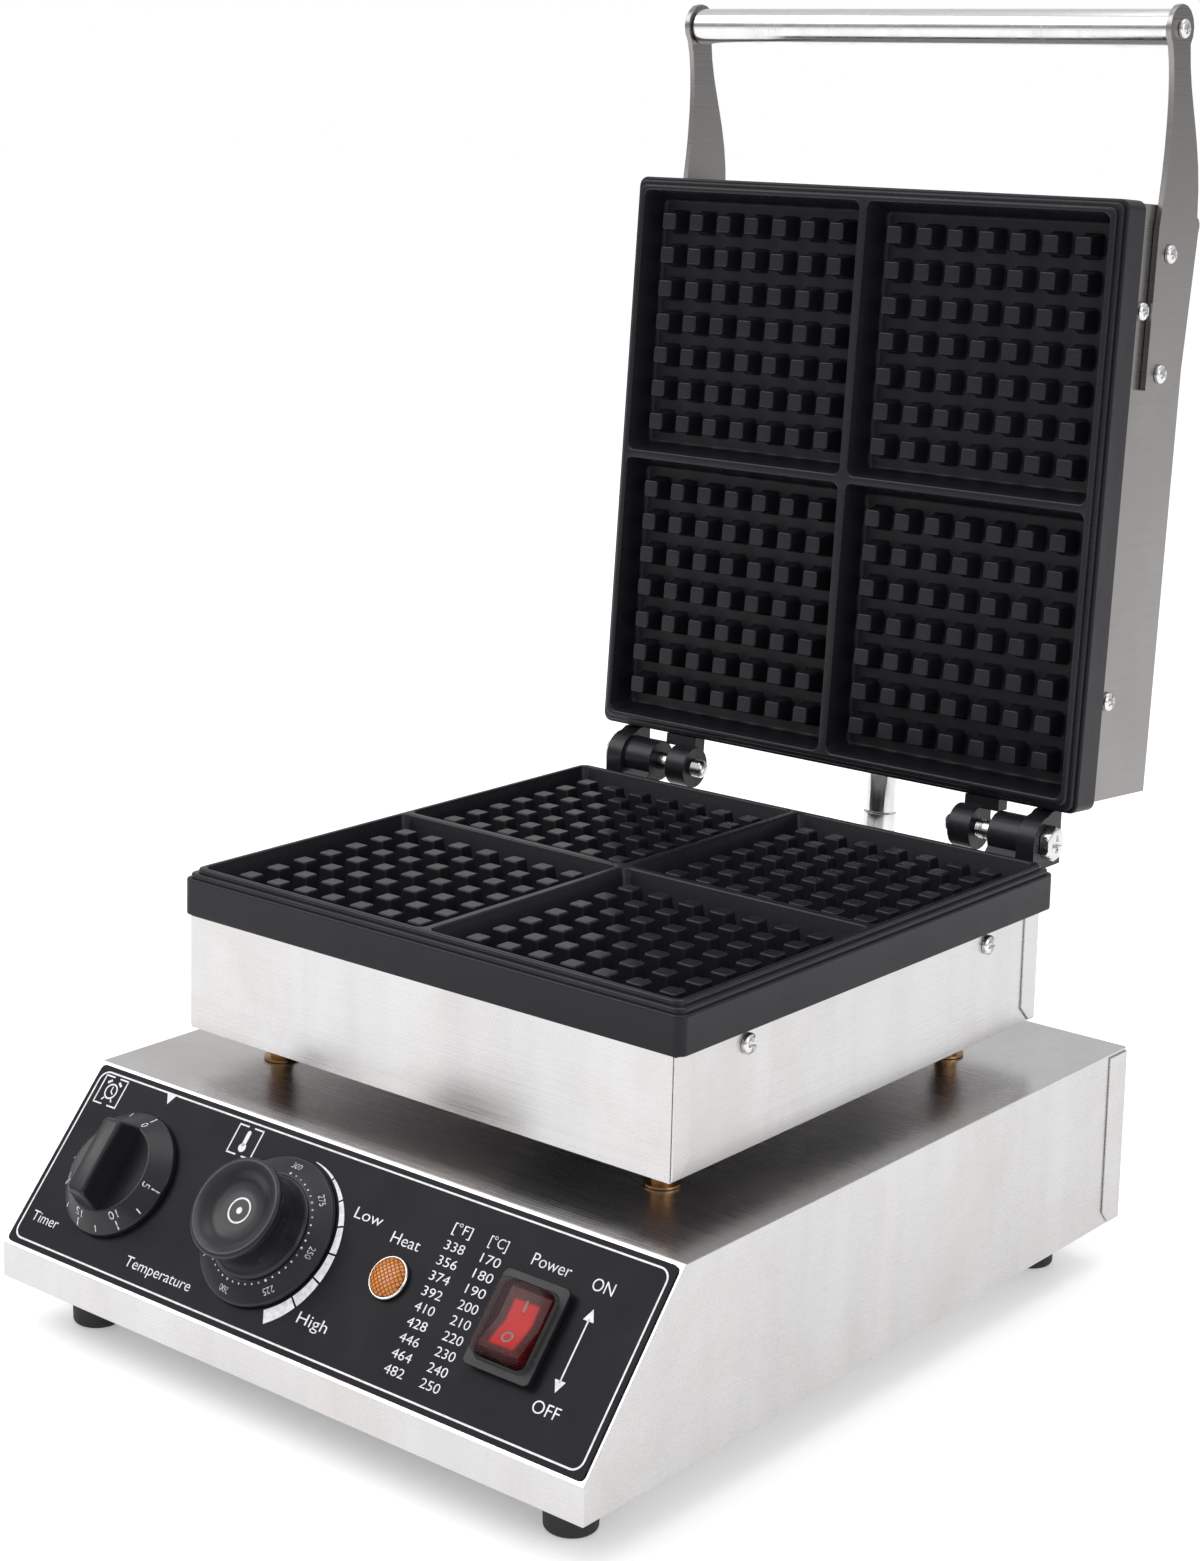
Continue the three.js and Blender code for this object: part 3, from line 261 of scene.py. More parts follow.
class Finish:
    """A Principled material whose nodes are added one by one."""

    def __init__(self, name, color, roughness, metallic=0.0, **sockets):
        self.material = bpy.data.materials.new(name)
        self.material.use_nodes = True
        self.tree = self.material.node_tree
        self.shader = self.tree.nodes["Principled BSDF"]
        self.set("Base Color", (*color, 1))
        self.set("Roughness", roughness)
        self.set("Metallic", metallic)
        for socket, value in sockets.items():
            self.set(socket.replace("_", " "), value)
        self.place = self.add("ShaderNodeTexCoord").outputs["Object"]
        self.facing = None

    def feed(self, node, socket, value):
        if isinstance(value, bpy.types.NodeSocket):
            self.tree.links.new(value, node.inputs[socket])
        else:
            node.inputs[socket].default_value = value

    def set(self, socket, value):
        self.feed(self.shader, socket, value)

    def add(self, kind, inputs=(), **properties):
        """A new node with its properties and its (socket, value) pairs set."""
        node = self.tree.nodes.new(kind)
        for key, value in properties.items():
            setattr(node, key, value)
        for socket, value in inputs:
            self.feed(node, socket, value)
        return node

    def stretched(self, scale):
        """Object coordinates stretched by a scale for each axis."""
        inputs = (("Vector", self.place), ("Scale", scale))
        return self.add("ShaderNodeMapping", inputs, vector_type="POINT").outputs["Vector"]

    def noise(self, scale, detail=4.0, roughness=0.55, place=None, distortion=0.0):
        inputs = (
            ("Vector", place or self.place),
            ("Scale", scale),
            ("Detail", detail),
            ("Roughness", roughness),
            ("Distortion", distortion),
        )
        return self.add("ShaderNodeTexNoise", inputs).outputs["Fac"]

    def cells(self, scale):
        inputs = (("Vector", self.place), ("Scale", scale))
        return self.add("ShaderNodeTexVoronoi", inputs).outputs["Distance"]

    def split(self, vector):
        return self.add("ShaderNodeSeparateXYZ", ((0, vector),)).outputs

    def along(self, axis):
        """How far a point lies along an axis."""
        inputs = ((0, self.place), (1, tuple(axis)))
        return self.add("ShaderNodeVectorMath", inputs, operation="DOT_PRODUCT").outputs["Value"]

    def rescale(self, value, from_low, from_high, to_low=0.0, to_high=1.0):
        sockets = ("Value", "From Min", "From Max", "To Min", "To Max")
        inputs = zip(sockets, (value, from_low, from_high, to_low, to_high))
        return self.add("ShaderNodeMapRange", inputs).outputs["Result"]

    def math(self, operation, a, b=0.0):
        return self.add("ShaderNodeMath", ((0, a), (1, b)), operation=operation).outputs["Value"]

    def times(self, a, b):
        return self.math("MULTIPLY", a, b)

    def blend(self, factor, *colors):
        first, second = [c if isinstance(c, bpy.types.NodeSocket) else (*c, 1) for c in colors]
        inputs = ((0, factor), (6, first), (7, second))
        return self.add("ShaderNodeMix", inputs, data_type="RGBA").outputs[2]

    def choose(self, factor, a, b):
        return self.add("ShaderNodeMix", ((0, factor), (2, a), (3, b)), data_type="FLOAT").outputs[0]

    def bump(self, height, distance, strength=1.0):
        inputs = [("Height", height), ("Distance", distance), ("Strength", strength)]
        if self.facing:
            inputs.append(("Normal", self.facing))
        self.facing = self.add("ShaderNodeBump", inputs).outputs["Normal"]
        self.set("Normal", self.facing)


def brushed_steel(name, color, roughness, stain=0.25):
    """Sheet with fine grinding lines along X (along Y on the sides), hand marks and faint stains."""
    finish = Finish(name, color, roughness, 1.0)
    upright = finish.noise(1.0, 3, 0.6, finish.stretched((9, 9, 2600)))
    level = finish.noise(1.0, 3, 0.6, finish.stretched((9, 2600, 9)))
    normal = finish.add("ShaderNodeTexCoord").outputs["Normal"]
    flat = finish.rescale(finish.math("ABSOLUTE", finish.split(normal)["Z"]), 0.6, 0.8)
    lines = finish.choose(flat, upright, level)
    marks = finish.rescale(finish.noise(14, 5, 0.6, distortion=0.6), 0.45, 0.75)
    streaks = finish.rescale(finish.noise(1.0, 4, 0.6, finish.stretched((40, 40, 5))), 0.4, 0.8)
    spots = finish.rescale(finish.cells(420), 0.06, 0.12, 1.0, 0.0)
    spots = finish.times(spots, finish.rescale(finish.noise(60, 2), 0.62, 0.66))
    rough = finish.rescale(lines, 0.3, 0.7, roughness - 0.05, roughness + 0.06)
    finish.set("Roughness", finish.math("ADD", rough, finish.times(marks, 0.07)))
    warm = tuple(channel * tint for channel, tint in zip(color, (0.93, 0.87, 0.80)))
    dull = tuple(channel * 0.86 for channel in color)
    toned = finish.blend(finish.times(marks, stain), color, warm)
    toned = finish.blend(finish.times(streaks, stain), toned, dull)
    finish.set("Base Color", finish.blend(finish.times(spots, 0.5), toned, (0.22, 0.19, 0.17)))
    finish.bump(lines, 0.012 * MM, 0.6)
    finish.bump(marks, 0.03 * MM, 0.3)
    return finish.material


def turned_steel(name, color, roughness):
    """Bright steel with fine turning lines and a few dull marks."""
    finish = Finish(name, color, roughness, 1.0)
    lines = finish.noise(1.0, 3, 0.6, finish.stretched((1800, 60, 60)))
    marks = finish.rescale(finish.noise(90, 4), 0.45, 0.7)
    rough = finish.rescale(lines, 0.3, 0.7, roughness * 0.7, roughness * 1.4)
    finish.set("Roughness", finish.math("ADD", rough, finish.times(marks, 0.08)))
    dull = tuple(channel * 0.8 for channel in color)
    finish.set("Base Color", finish.blend(finish.times(marks, 0.4), color, dull))
    finish.bump(lines, 0.01 * MM, 0.5)
    return finish.material


def cast_coating(name, ledge, facing_out):
    """Near-black non-stick coat on a casting: pebbled, duller in the moulds, rubbed bright on the
    rims and on the tops of the pegs. The ledge is a point on the casting's face."""
    dark, rubbed = (0.0078, 0.0074, 0.0102), (0.022, 0.021, 0.026)
    finish = Finish(name, dark, 0.42, 0.0, Specular_IOR_Level=0.24)
    height = finish.math("SUBTRACT", finish.along(facing_out), ledge.dot(facing_out))
    above = finish.rescale(height, 0.4 * MM, 0.95 * MM)
    deep = finish.rescale(height, -FLOOR_DEPTH * MM, 0.0, 1.0, 0.0)
    patches = finish.rescale(finish.noise(38, 5, 0.6), 0.35, 0.7, 0.35, 1.0)
    fine = finish.noise(900, 3, 0.6)
    pebble = finish.noise(320, 3, 0.5)
    wear = finish.times(above, patches)
    finish.set("Base Color", finish.blend(finish.times(wear, 0.45), dark, rubbed))
    rough = finish.rescale(patches, 0.0, 1.0, 0.42, 0.32)
    rough = finish.math("ADD", rough, finish.times(deep, 0.08))
    rough = finish.math("SUBTRACT", rough, finish.times(above, 0.07))
    finish.set("Roughness", finish.math("ADD", rough, finish.rescale(fine, 0.3, 0.7, -0.03, 0.03)))
    finish.bump(pebble, 0.10 * MM, 0.55)
    finish.bump(fine, 0.03 * MM, 0.5)
    return finish.material


def moulded_plastic(name, color, roughness, grain=700, depth=0.03):
    """Moulded plastic with a fine spark-eroded grain and slight handling gloss."""
    finish = Finish(name, color, roughness, 0.0, Specular_IOR_Level=0.36)
    handling = finish.rescale(finish.noise(60, 4), 0.4, 0.7)
    fine = finish.noise(grain, 3, 0.55)
    finish.set("Roughness", finish.choose(handling, roughness + 0.05, roughness - 0.06))
    worn = tuple(min(1.0, channel * 1.5 + 0.004) for channel in color)
    finish.set("Base Color", finish.blend(finish.times(handling, 0.45), color, worn))
    finish.bump(fine, depth * MM, 0.6)
    return finish.material


def printed_film(name):
    """Matte screen-printed polyester with a fine velvet texture."""
    finish = Finish(name, (0.009, 0.009, 0.0115), 0.42, 0.0, Specular_IOR_Level=0.1)
    cloud = finish.noise(45, 4, 0.6)
    velvet = finish.noise(1500, 2, 0.5)
    dust = finish.rescale(finish.cells(900), 0.05, 0.09, 1.0, 0.0)
    specks = finish.times(dust, finish.rescale(finish.noise(140, 2), 0.64, 0.68))
    finish.set("Roughness", finish.rescale(cloud, 0.3, 0.7, 0.36, 0.48))
    toned = finish.blend(cloud, (0.0080, 0.0080, 0.0102), (0.0105, 0.0105, 0.0132))
    finish.set("Base Color", finish.blend(finish.times(specks, 0.5), toned, (0.2, 0.2, 0.21)))
    finish.bump(velvet, 0.012 * MM, 0.5)
    return finish.material


def mottled(name, roughness, noise, low, high, bump, metallic=0.0):
    """A surface that drifts between two colours, with the pattern or a finer one in relief. The
    noise is (scale, detail, lowest, highest), the bump ((scale, detail) or None, distance, strength)."""
    finish = Finish(name, low, roughness, metallic)
    scale, detail, start, end = noise
    pattern = finish.rescale(finish.noise(scale, detail), start, end)
    finish.set("Base Color", finish.blend(pattern, low, high))
    grain, distance, strength = bump
    finish.bump(finish.noise(*grain) if grain else pattern, distance * MM, strength)
    return finish.material


def rubber(name):
    dark, dusty = (0.014, 0.014, 0.015), (0.05, 0.05, 0.052)
    finish = Finish(name, dark, 0.75)
    dust = finish.rescale(finish.noise(120, 5, 0.6), 0.45, 0.75)
    finish.set("Base Color", finish.blend(finish.times(dust, 0.5), dark, dusty))
    finish.set("Roughness", finish.rescale(dust, 0.0, 1.0, 0.68, 0.88))
    finish.bump(finish.noise(1100, 3), 0.05 * MM, 0.6)
    return finish.material


def heat_tinted(name, low, high):
    """Steel gone straw, bronze and blue-brown with heat, between two levels."""
    finish = Finish(name, (0.34, 0.22, 0.14), 0.3, 1.0)
    level = finish.rescale(finish.split(finish.place)["Z"], low, high)
    drift = finish.rescale(finish.noise(120, 4, 0.6), 0.3, 0.7, -0.25, 0.25)
    ramp = finish.add("ShaderNodeValToRGB", (("Fac", finish.math("ADD", level, drift)),))
    stops = ramp.color_ramp.elements
    stops[0].position, stops[0].color = 0.0, (0.36, 0.25, 0.15, 1)
    stops[1].position, stops[1].color = 1.0, (0.10, 0.062, 0.045, 1)
    for position, color in ((0.35, (0.42, 0.25, 0.11, 1)), (0.7, (0.20, 0.10, 0.06, 1))):
        stops.new(position).color = color
    finish.set("Base Color", ramp.outputs["Color"])
    finish.set("Roughness", finish.rescale(finish.noise(240, 3), 0.3, 0.7, 0.22, 0.42))
    finish.bump(finish.noise(1.0, 2, 0.5, finish.stretched((300, 300, 2400))), 0.02 * MM, 0.6)
    return finish.material


def amber_lens(name):
    """Translucent amber with a pressed grid of small squares."""
    square = 1.5 * MM
    finish = Finish(name, (0.5, 0.17, 0.02), 0.2, 0.0, IOR=1.49)
    waves = []
    for axis in ((ACROSS + UP_SLOPE) / math.sqrt(2), (ACROSS - UP_SLOPE) / math.sqrt(2)):
        phase = finish.times(finish.along(axis), math.pi / square)
        waves.append(finish.math("ABSOLUTE", finish.math("SINE", phase)))
    lines = finish.rescale(finish.math("MINIMUM", *waves), 0.12, 0.62)
    glow = finish.blend(finish.noise(260, 3), (0.36, 0.10, 0.008), (0.66, 0.24, 0.03))
    finish.set("Base Color", finish.blend(lines, (0.12, 0.025, 0.002), glow))
    finish.set("Emission Color", finish.blend(lines, (0.10, 0.02, 0.002), (0.85, 0.27, 0.03)))
    finish.set("Emission Strength", 0.14)
    finish.bump(lines, 0.25 * MM, 0.8)
    return finish.material


def lit_rocker(name):
    """Clear red plastic, lit from behind over the middle of its face and dark towards its sides."""
    finish = Finish(name, (0.10, 0.004, 0.004), 0.22, 0.0)
    middle = PANEL @ Vector((SWITCH_X, 0, 0))
    shares = []
    for axis, reach in ((ACROSS, 5.4), (UP_SLOPE, 8.6)):
        offset = finish.math("ABSOLUTE", finish.math("SUBTRACT", finish.along(axis), middle.dot(axis)))
        shares.append(finish.rescale(offset, (reach - 0.5) * MM, (reach + 0.7) * MM, 1.0, 0.0))
    lit = finish.times(*shares)
    cloud = finish.rescale(finish.noise(130, 3), 0.3, 0.7, 0.75, 1.0)
    finish.set("Base Color", finish.blend(lit, (0.085, 0.004, 0.004), (0.50, 0.006, 0.005)))
    glow = finish.blend(finish.times(lit, cloud), (0.045, 0.001, 0.001), (1.0, 0.012, 0.010))
    finish.set("Emission Color", glow)
    finish.set("Emission Strength", 0.8)
    finish.bump(finish.noise(500, 2), 0.02 * MM, 0.4)
    return finish.material


def smoky_vinyl(name, color, alpha):
    """Soft smoky vinyl with a waxy surface."""
    finish = Finish(name, color, 0.3, 0.0, IOR=1.45, Alpha=alpha, Specular_IOR_Level=0.3)
    finish.set("Roughness", finish.rescale(finish.noise(70, 2), 0.3, 0.7, 0.26, 0.38))
    return finish.material


INK_RELIEF = (None, 0.01, 0.4)
satin = brushed_steel("satin_steel", (0.575, 0.565, 0.57), 0.25, 0.75)
# the lid's sheet: the same satin steel with its colour darkened, painted shade for the darker
# surroundings its sides reflect
shaded_satin = brushed_steel("satin_steel_lid_shaded", (0.27, 0.26, 0.255), 0.30, 0.25)
bright = turned_steel("bright_steel", (0.66, 0.65, 0.65), 0.16)
tinted = heat_tinted("heat_tinted_steel", *(corner.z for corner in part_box("pillar_front_left")))
black_plastic = moulded_plastic("black_plastic", (0.009, 0.0085, 0.0105), 0.34)
knob_plastic = moulded_plastic("knob_plastic", (0.0085, 0.0078, 0.0105), 0.30, 520, 0.05)
film = printed_film("panel_film")
ink = mottled(
    "white_ink", 0.45, (500, 3, 0.35, 0.65), (0.60, 0.60, 0.63), (0.80, 0.80, 0.82), INK_RELIEF
)
faded_ink = mottled(
    "worn_ink", 0.5, (650, 3, 0.42, 0.58), (0.30, 0.30, 0.32), (0.74, 0.74, 0.77), INK_RELIEF
)
black_rubber = rubber("black_rubber")
amber = amber_lens("amber_lens")
red = lit_rocker("red_plastic")
vinyl = smoky_vinyl("smoky_vinyl", (0.0125, 0.012, 0.014), 0.96)
clear_dome = smoky_vinyl("clear_dome", (0.030, 0.004, 0.005), 0.32)
bare_copper = mottled(
    "bare_copper", 0.3, (160, 4, 0.4, 0.7), (0.66, 0.37, 0.21), (0.32, 0.17, 0.10),
    ((700, 2), 0.02, 0.4), 1.0,
)
white_ceramic = mottled(
    "white_ceramic", 0.55, (90, 4, 0, 1), (0.72, 0.68, 0.6), (0.82, 0.79, 0.72), ((900, 3), 0.04, 0.5)
)


# ---- camera and light

def look_from(place, yaw, pitch, roll):
    turn = (
        Matrix.Rotation(math.radians(yaw), 4, "Z")
        @ Matrix.Rotation(math.radians(90 + pitch), 4, "X")
        @ Matrix.Rotation(math.radians(roll), 4, "Z")
    )
    data = bpy.data.cameras.new("camera")
    camera = bpy.data.objects.new("camera", data)
    camera.matrix_world = Matrix.Translation(place) @ turn
    SCENE.collection.objects.link(camera)
    SCENE.camera = camera
    return data


lens = look_from(Vector((0.6901, FRONT - 0.6846, 0.4892)), 40.47, -9.59, 1.07)
lens.sensor_width = 36
lens.lens = 66.06
lens.shift_x = 0.0601
lens.shift_y = -0.1432
lens.clip_start = 0.01


def panel_light(name, place, target, size, power, color=(1, 1, 1)):
    data = bpy.data.lights.new(name, "AREA")
    data.shape = "RECTANGLE"
    data.size, data.size_y = size
    data.energy = power
    data.color = color
    light = bpy.data.objects.new(name, data)
    SCENE.collection.objects.link(light)
    aim = (Vector(target) - Vector(place)).to_track_quat("-Z", "Y")
    light.matrix_world = Matrix.Translation(place) @ aim.to_matrix().to_4x4()


MIDDLE = (0, 0, 0.2)
panel_light("key_light", (-1.6, -1.5, 2.2), MIDDLE, (1.8, 1.8), 34)
panel_light("side_light", (2.3, -0.2, 1.1), MIDDLE, (1.4, 1.6), 9)
panel_light("top_light", (0.1, 0.5, 2.6), MIDDLE, (2.2, 2.2), 20)


def studio_world():
    """White to the camera; for reflections, white from below and above with a grey band between."""
    world = bpy.data.worlds.new("studio")
    SCENE.world = world
    world.use_nodes = True
    tree = world.node_tree
    background = tree.nodes["Background"]
    place = tree.nodes.new("ShaderNodeTexCoord")
    split = tree.nodes.new("ShaderNodeSeparateXYZ")
    tree.links.new(place.outputs["Generated"], split.inputs[0])
    ramp = tree.nodes.new("ShaderNodeValToRGB")
    shift = tree.nodes.new("ShaderNodeMapRange")
    shift.inputs["From Min"].default_value = -1
    tree.links.new(split.outputs["Z"], shift.inputs["Value"])
    tree.links.new(shift.outputs["Result"], ramp.inputs["Fac"])
    stops = ramp.color_ramp.elements
    stops[0].position, stops[0].color = 0.47, (0.30, 0.30, 0.31, 1)
    stops[1].position, stops[1].color = 1.0, (1.0, 1.0, 1.0, 1)
    for position, level in ((0.56, 0.34), (0.68, 0.95), (0.80, 0.75)):
        stops.new(position).color = (level, level, level, 1)
    path = tree.nodes.new("ShaderNodeLightPath")
    mix = tree.nodes.new("ShaderNodeMix")
    mix.data_type = "RGBA"
    tree.links.new(path.outputs["Is Camera Ray"], mix.inputs[0])
    tree.links.new(ramp.outputs["Color"], mix.inputs[6])
    mix.inputs[7].default_value = (1, 1, 1, 1)
    tree.links.new(mix.outputs[2], background.inputs["Color"])
    background.inputs["Strength"].default_value = 1.0


def floor():
    work = bmesh.new()
    bmesh.ops.create_grid(work, x_segments=1, y_segments=1, size=12)
    mesh = finished(work, "floor")
    finish = Finish("floor_paper", (0.9, 0.905, 0.91), 0.6)
    finish.set("Roughness", finish.rescale(finish.noise(4, 3), 0.3, 0.7, 0.5, 0.65))
    finish.set("Emission Color", (1.0, 1.0, 1.0, 1))
    finish.set("Emission Strength", 0.28)
    mesh.materials.append(finish.material)
    sheet = bpy.data.objects.new("floor", mesh)
    SCENE.collection.objects.link(sheet)


studio_world()
floor()
SCENE.view_settings.view_transform = "Standard"


# ---- castings and sheet metal

PLATE_LOW, PLATE_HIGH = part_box("lower_plate")
PLATE_WIDTH = (PLATE_HIGH.x - PLATE_LOW.x) / MM
PLATE_LENGTH = (PLATE_HIGH.y - PLATE_LOW.y) / MM
LEDGE = PLATE_HIGH.z - 1 * MM
LID_FACE, LID_EDGE = 0.5, 13.5  # the upper ledge and the edge by the hinge, from the hinge axis
DIVIDER = 3.8
RIM_EDGE = 6.1  # from the casting's outside to the moulds
FLOOR_DEPTH = 8.5
PEG_PITCH = 15.2

# Each is an inset, a corner radius and a height over the ledge, from underneath to the rim's top.
OUTSIDE = (
    (0.7, 3.4, -15.0), (0.2, 3.8, -14.8), (0.0, 4.0, -14.3), (0.0, 4.0, -0.8), (0.2, 3.9, -0.2),
    (0.8, 3.6, 0.0), (1.5, 3.0, 0.0), (1.5, 3.4, 1.3), (1.7, 3.4, 1.8), (2.2, 3.3, 2.0),
    (3.5, 3.0, 2.0), (3.5, 3.6, 3.1), (3.75, 3.6, 3.75), (4.4, 3.4, 4.0),
)
# The same for a mould, from the rim's top to its floor.
INSIDE = (
    (-0.65, 3.6, 4.0), (-0.15, 3.4, 3.8), (0.1, 3.2, 3.3), (3.1, 2.6, -7.2), (3.5, 2.4, -7.9),
    (4.1, 2.0, -8.35), (5.0, 1.6, -8.5),
)
# Each is a peg's width, a corner radius and a height.
PEG = (
    (11.2, 1.9, -8.6), (10.1, 1.6, -8.2), (9.4, 1.4, -7.2), (7.55, 1.1, 0.1), (7.3, 1.0, 0.6),
    (6.9, 0.9, 0.88), (6.2, 0.7, 1.0),
)


def casting(name, matrix):
    """A cast grid lying face up: x across from its middle, y from its front edge, z from its ledge."""
    work = bmesh.new()

    def loop(size, radius, height, at, steps=6):
        points = shifted(rectangle(*size, radius, steps), *at)
        return [work.verts.new(placed(matrix, x, y, height)) for x, y in points]

    def rim_edges(row):
        return [work.edges.get((row[i - 1], row[i])) for i in range(len(row))]

    middle = PLATE_LENGTH / 2
    outside = [
        loop((PLATE_WIDTH - 2 * inset, PLATE_LENGTH - 2 * inset), radius, height, (0, middle))
        for inset, radius, height in OUTSIDE
    ]
    tie(work, outside)
    work.faces.new(outside[0][::-1])
    top = rim_edges(outside[-1])
    border = RIM_EDGE + DIVIDER / 2
    size = (PLATE_WIDTH / 2 - border, PLATE_LENGTH / 2 - border)
    counts = [int(side / PEG_PITCH) for side in size]
    for sx, sy in ((-1, -1), (-1, 1), (1, -1), (1, 1)):
        at = (sx * (size[0] + DIVIDER) / 2, middle + sy * (size[1] + DIVIDER) / 2)
        inside = [
            loop((size[0] - 2 * inset, size[1] - 2 * inset), radius, height, at)
            for inset, radius, height in INSIDE
        ]
        tie(work, inside)
        work.faces.new(inside[-1])
        top += rim_edges(inside[0])
        for i in range(counts[0]):
            for j in range(counts[1]):
                place = (
                    at[0] + (i - (counts[0] - 1) / 2) * PEG_PITCH,
                    at[1] + (j - (counts[1] - 1) / 2) * PEG_PITCH,
                )
                peg = [loop((width, width), radius, height, place, 3) for width, radius, height in PEG]
                tie(work, peg)
                work.faces.new(peg[0][::-1])
                work.faces.new(peg[-1])
    bmesh.ops.triangle_fill(work, edges=top, use_beauty=True)
    return shade(finished(work, name), 60)


def weigh(piece):
    """Keeps flat faces flat beside the fillets."""
    normals = piece.modifiers.new("normals", "WEIGHTED_NORMAL")
    normals.weight = 80
    normals.keep_sharp = True
    return piece


lid_turn = LID.to_3x3()
lid_front = lid_turn @ Vector((0, -1, 0))
lower_frame = Matrix.Translation((0, PLATE_LOW.y, LEDGE))
upper_frame = axes(ACROSS, lid_turn @ Vector((0, 0, 1)), lid_front, placed(LID, 0, LID_FACE, LID_EDGE))
for part, place, facing, body in (
    ("lower", lower_frame, Vector((0, 0, 1)), "base"),
    ("upper", upper_frame, lid_front, "lid"),
):
    coat = cast_coating(f"cast_coating_{part}", place.translation, facing)
    grid = add_object(f"{part}_casting", casting(f"{part}_casting", place), coat, body)
    weigh(grid)
    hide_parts(f"{part}_plate", f"{part}_rim")
    for side in ("left", "right"):
        refine(f"{part}_hinge_{side}", coat, 0.8, 3)
for node in ("base_casing", "base_cover", "lower_casing"):
    refine(node, satin, 0.5)
# the lid's casing and brackets take the darker copy of the satin steel: painted shade
for node in ("upper_casing", "handle_bracket_left", "handle_bracket_right"):
    refine(node, shaded_satin, 0.5)
refine("panel_overlay", film, 0.12, 2)


def side_sheet(work, outline, sign, inner, thickness):
    """A thin sheet on a side wall, drawn as (y, z) in metres."""
    rows = [
        [work.verts.new((sign * x, y, z)) for y, z in outline]
        for x in (inner, inner + thickness)
    ]
    tie(work, rows)
    work.faces.new(rows[0][::-1])
    work.faces.new(rows[1])


def seam_flaps():
    """The folded flaps that close the casings' corners, lapped over the side walls."""
    name = "casing_seam_flaps"
    low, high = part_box("lower_casing")
    base_low, base_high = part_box("base_casing")
    work = bmesh.new()
    thickness, proud, setback = 0.8 * MM, 0.02 * MM, 0.4 * MM
    width, chamfer = 11 * MM, 6 * MM
    base_width, base_chamfer = 14 * MM, (5 * MM, 5.4 * MM)
    for sign in (-1, 1):
        for edge, inward in ((low.y, 1), (high.y, -1)):
            bottom, top = low.z + 0.6 * MM, high.z - 0.2 * MM
            outline = [
                (edge + inward * setback, bottom),
                (edge + inward * (width - chamfer), bottom),
                (edge + inward * width, bottom + chamfer),
                (edge + inward * width, top),
                (edge + inward * setback, top),
            ]
            side_sheet(work, outline, sign, high.x + proud, thickness)
        bottom, top = base_low.z + 0.6 * MM, base_high.z - 1.5 * MM
        outline = [
            (base_high.y - setback, bottom),
            (base_high.y - base_width + base_chamfer[0], bottom),
            (base_high.y - base_width, bottom + base_chamfer[1]),
            (base_high.y - base_width, top),
            (base_high.y - setback, top),
        ]
        side_sheet(work, outline, sign, base_high.x + proud, thickness)
    bmesh.ops.recalc_face_normals(work, faces=work.faces)
    flaps = add_object(name, finished(work, name), satin, "base")
    bevel = flaps.modifiers.new("round", "BEVEL")
    bevel.width = 0.25 * MM
    bevel.segments = 2


seam_flaps()


# ---- screws and bolts

HEAD_RADIUS, HEAD_EDGE, HEAD_HEIGHT = 4.0, 0.9, 2.8
SHANK_RADIUS, SHANK_LENGTH = 2.0, 10.0
# How far a driver recess reaches, half its width and its depth.
SCREW_RECESS = (2.5, 0.62, 1.7)
BOLT_RECESS = (3.6, 0.85, 2.0)


def smooth_step(value, low, high):
    t = min(1.0, max(0.0, (value - low) / (high - low)))
    return t * t * (3 - 2 * t)


def cross_recess(x, y, reach, half_width, depth):
    """Depth of a cross-shaped driver recess at a point of a screw's head."""
    along, beside = max(abs(x), abs(y)), min(abs(x), abs(y))
    wall = 1 - smooth_step(beside, half_width * 0.75, half_width * 1.2)
    end = 1 - smooth_step(along, reach * 0.82, reach)
    return depth * wall * end * (1 - 0.45 * along / reach)


def screw(name, matrix, sides=72, rings=16):
    """A screw on the matrix's z axis, its domed head seated at zero, with a cross recess."""
    profile = [
        (AXIS, -SHANK_LENGTH), (SHANK_RADIUS - 0.4, -SHANK_LENGTH), (SHANK_RADIUS, 0.8 - SHANK_LENGTH),
        (SHANK_RADIUS, 0), (HEAD_RADIUS - 0.2, 0), (HEAD_RADIUS, 0.15), (HEAD_RADIUS, HEAD_EDGE),
    ]
    plain = len(profile)
    for i in range(1, rings + 1):
        r = max(0.02, HEAD_RADIUS * math.cos(math.pi / 2 * i / rings))
        bulge = math.sqrt(1 - (r / HEAD_RADIUS) ** 2)
        profile.append((r, HEAD_EDGE + (HEAD_HEIGHT - HEAD_EDGE) * bulge))
    points = []
    for index, (r, z) in enumerate(profile):
        recess = SCREW_RECESS if index >= plain else None
        points.append([
            placed(matrix, x, y, z - (cross_recess(x, y, *recess) if recess else 0))
            for x, y in circle(r, sides, 0.5)
        ])
    return skin(name, points)


def side_matrix(place, sign, turn=0.0):
    """z points out of the right (+1) or left (-1) side."""
    z = Vector((sign, 0, 0))
    y = Vector((0, 0, 1))
    return axes(y.cross(z), y, z, place) @ Matrix.Rotation(turn, 4, "Z")


def side_screws():
    kinds = ("lower_casing_screw", "upper_casing_screw", "bracket_screw", "handle_screw")
    nodes = [node for node in sorted(NODES) if node.startswith(kinds)]
    for count, node in enumerate(nodes, 1):
        sign = 1 if "right" in node else -1
        low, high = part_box(node)
        seat = (high.x if sign > 0 else -low.x) - HEAD_HEIGHT * MM
        place = Vector((sign * seat, (low.y + high.y) / 2, (low.z + high.z) / 2))
        matrix = side_matrix(place, sign, 0.35 + 1.7 * count)
        body = "base" if node.startswith("lower") else "lid"
        stand_in(node, screw(node + "_head", matrix), bright, body)


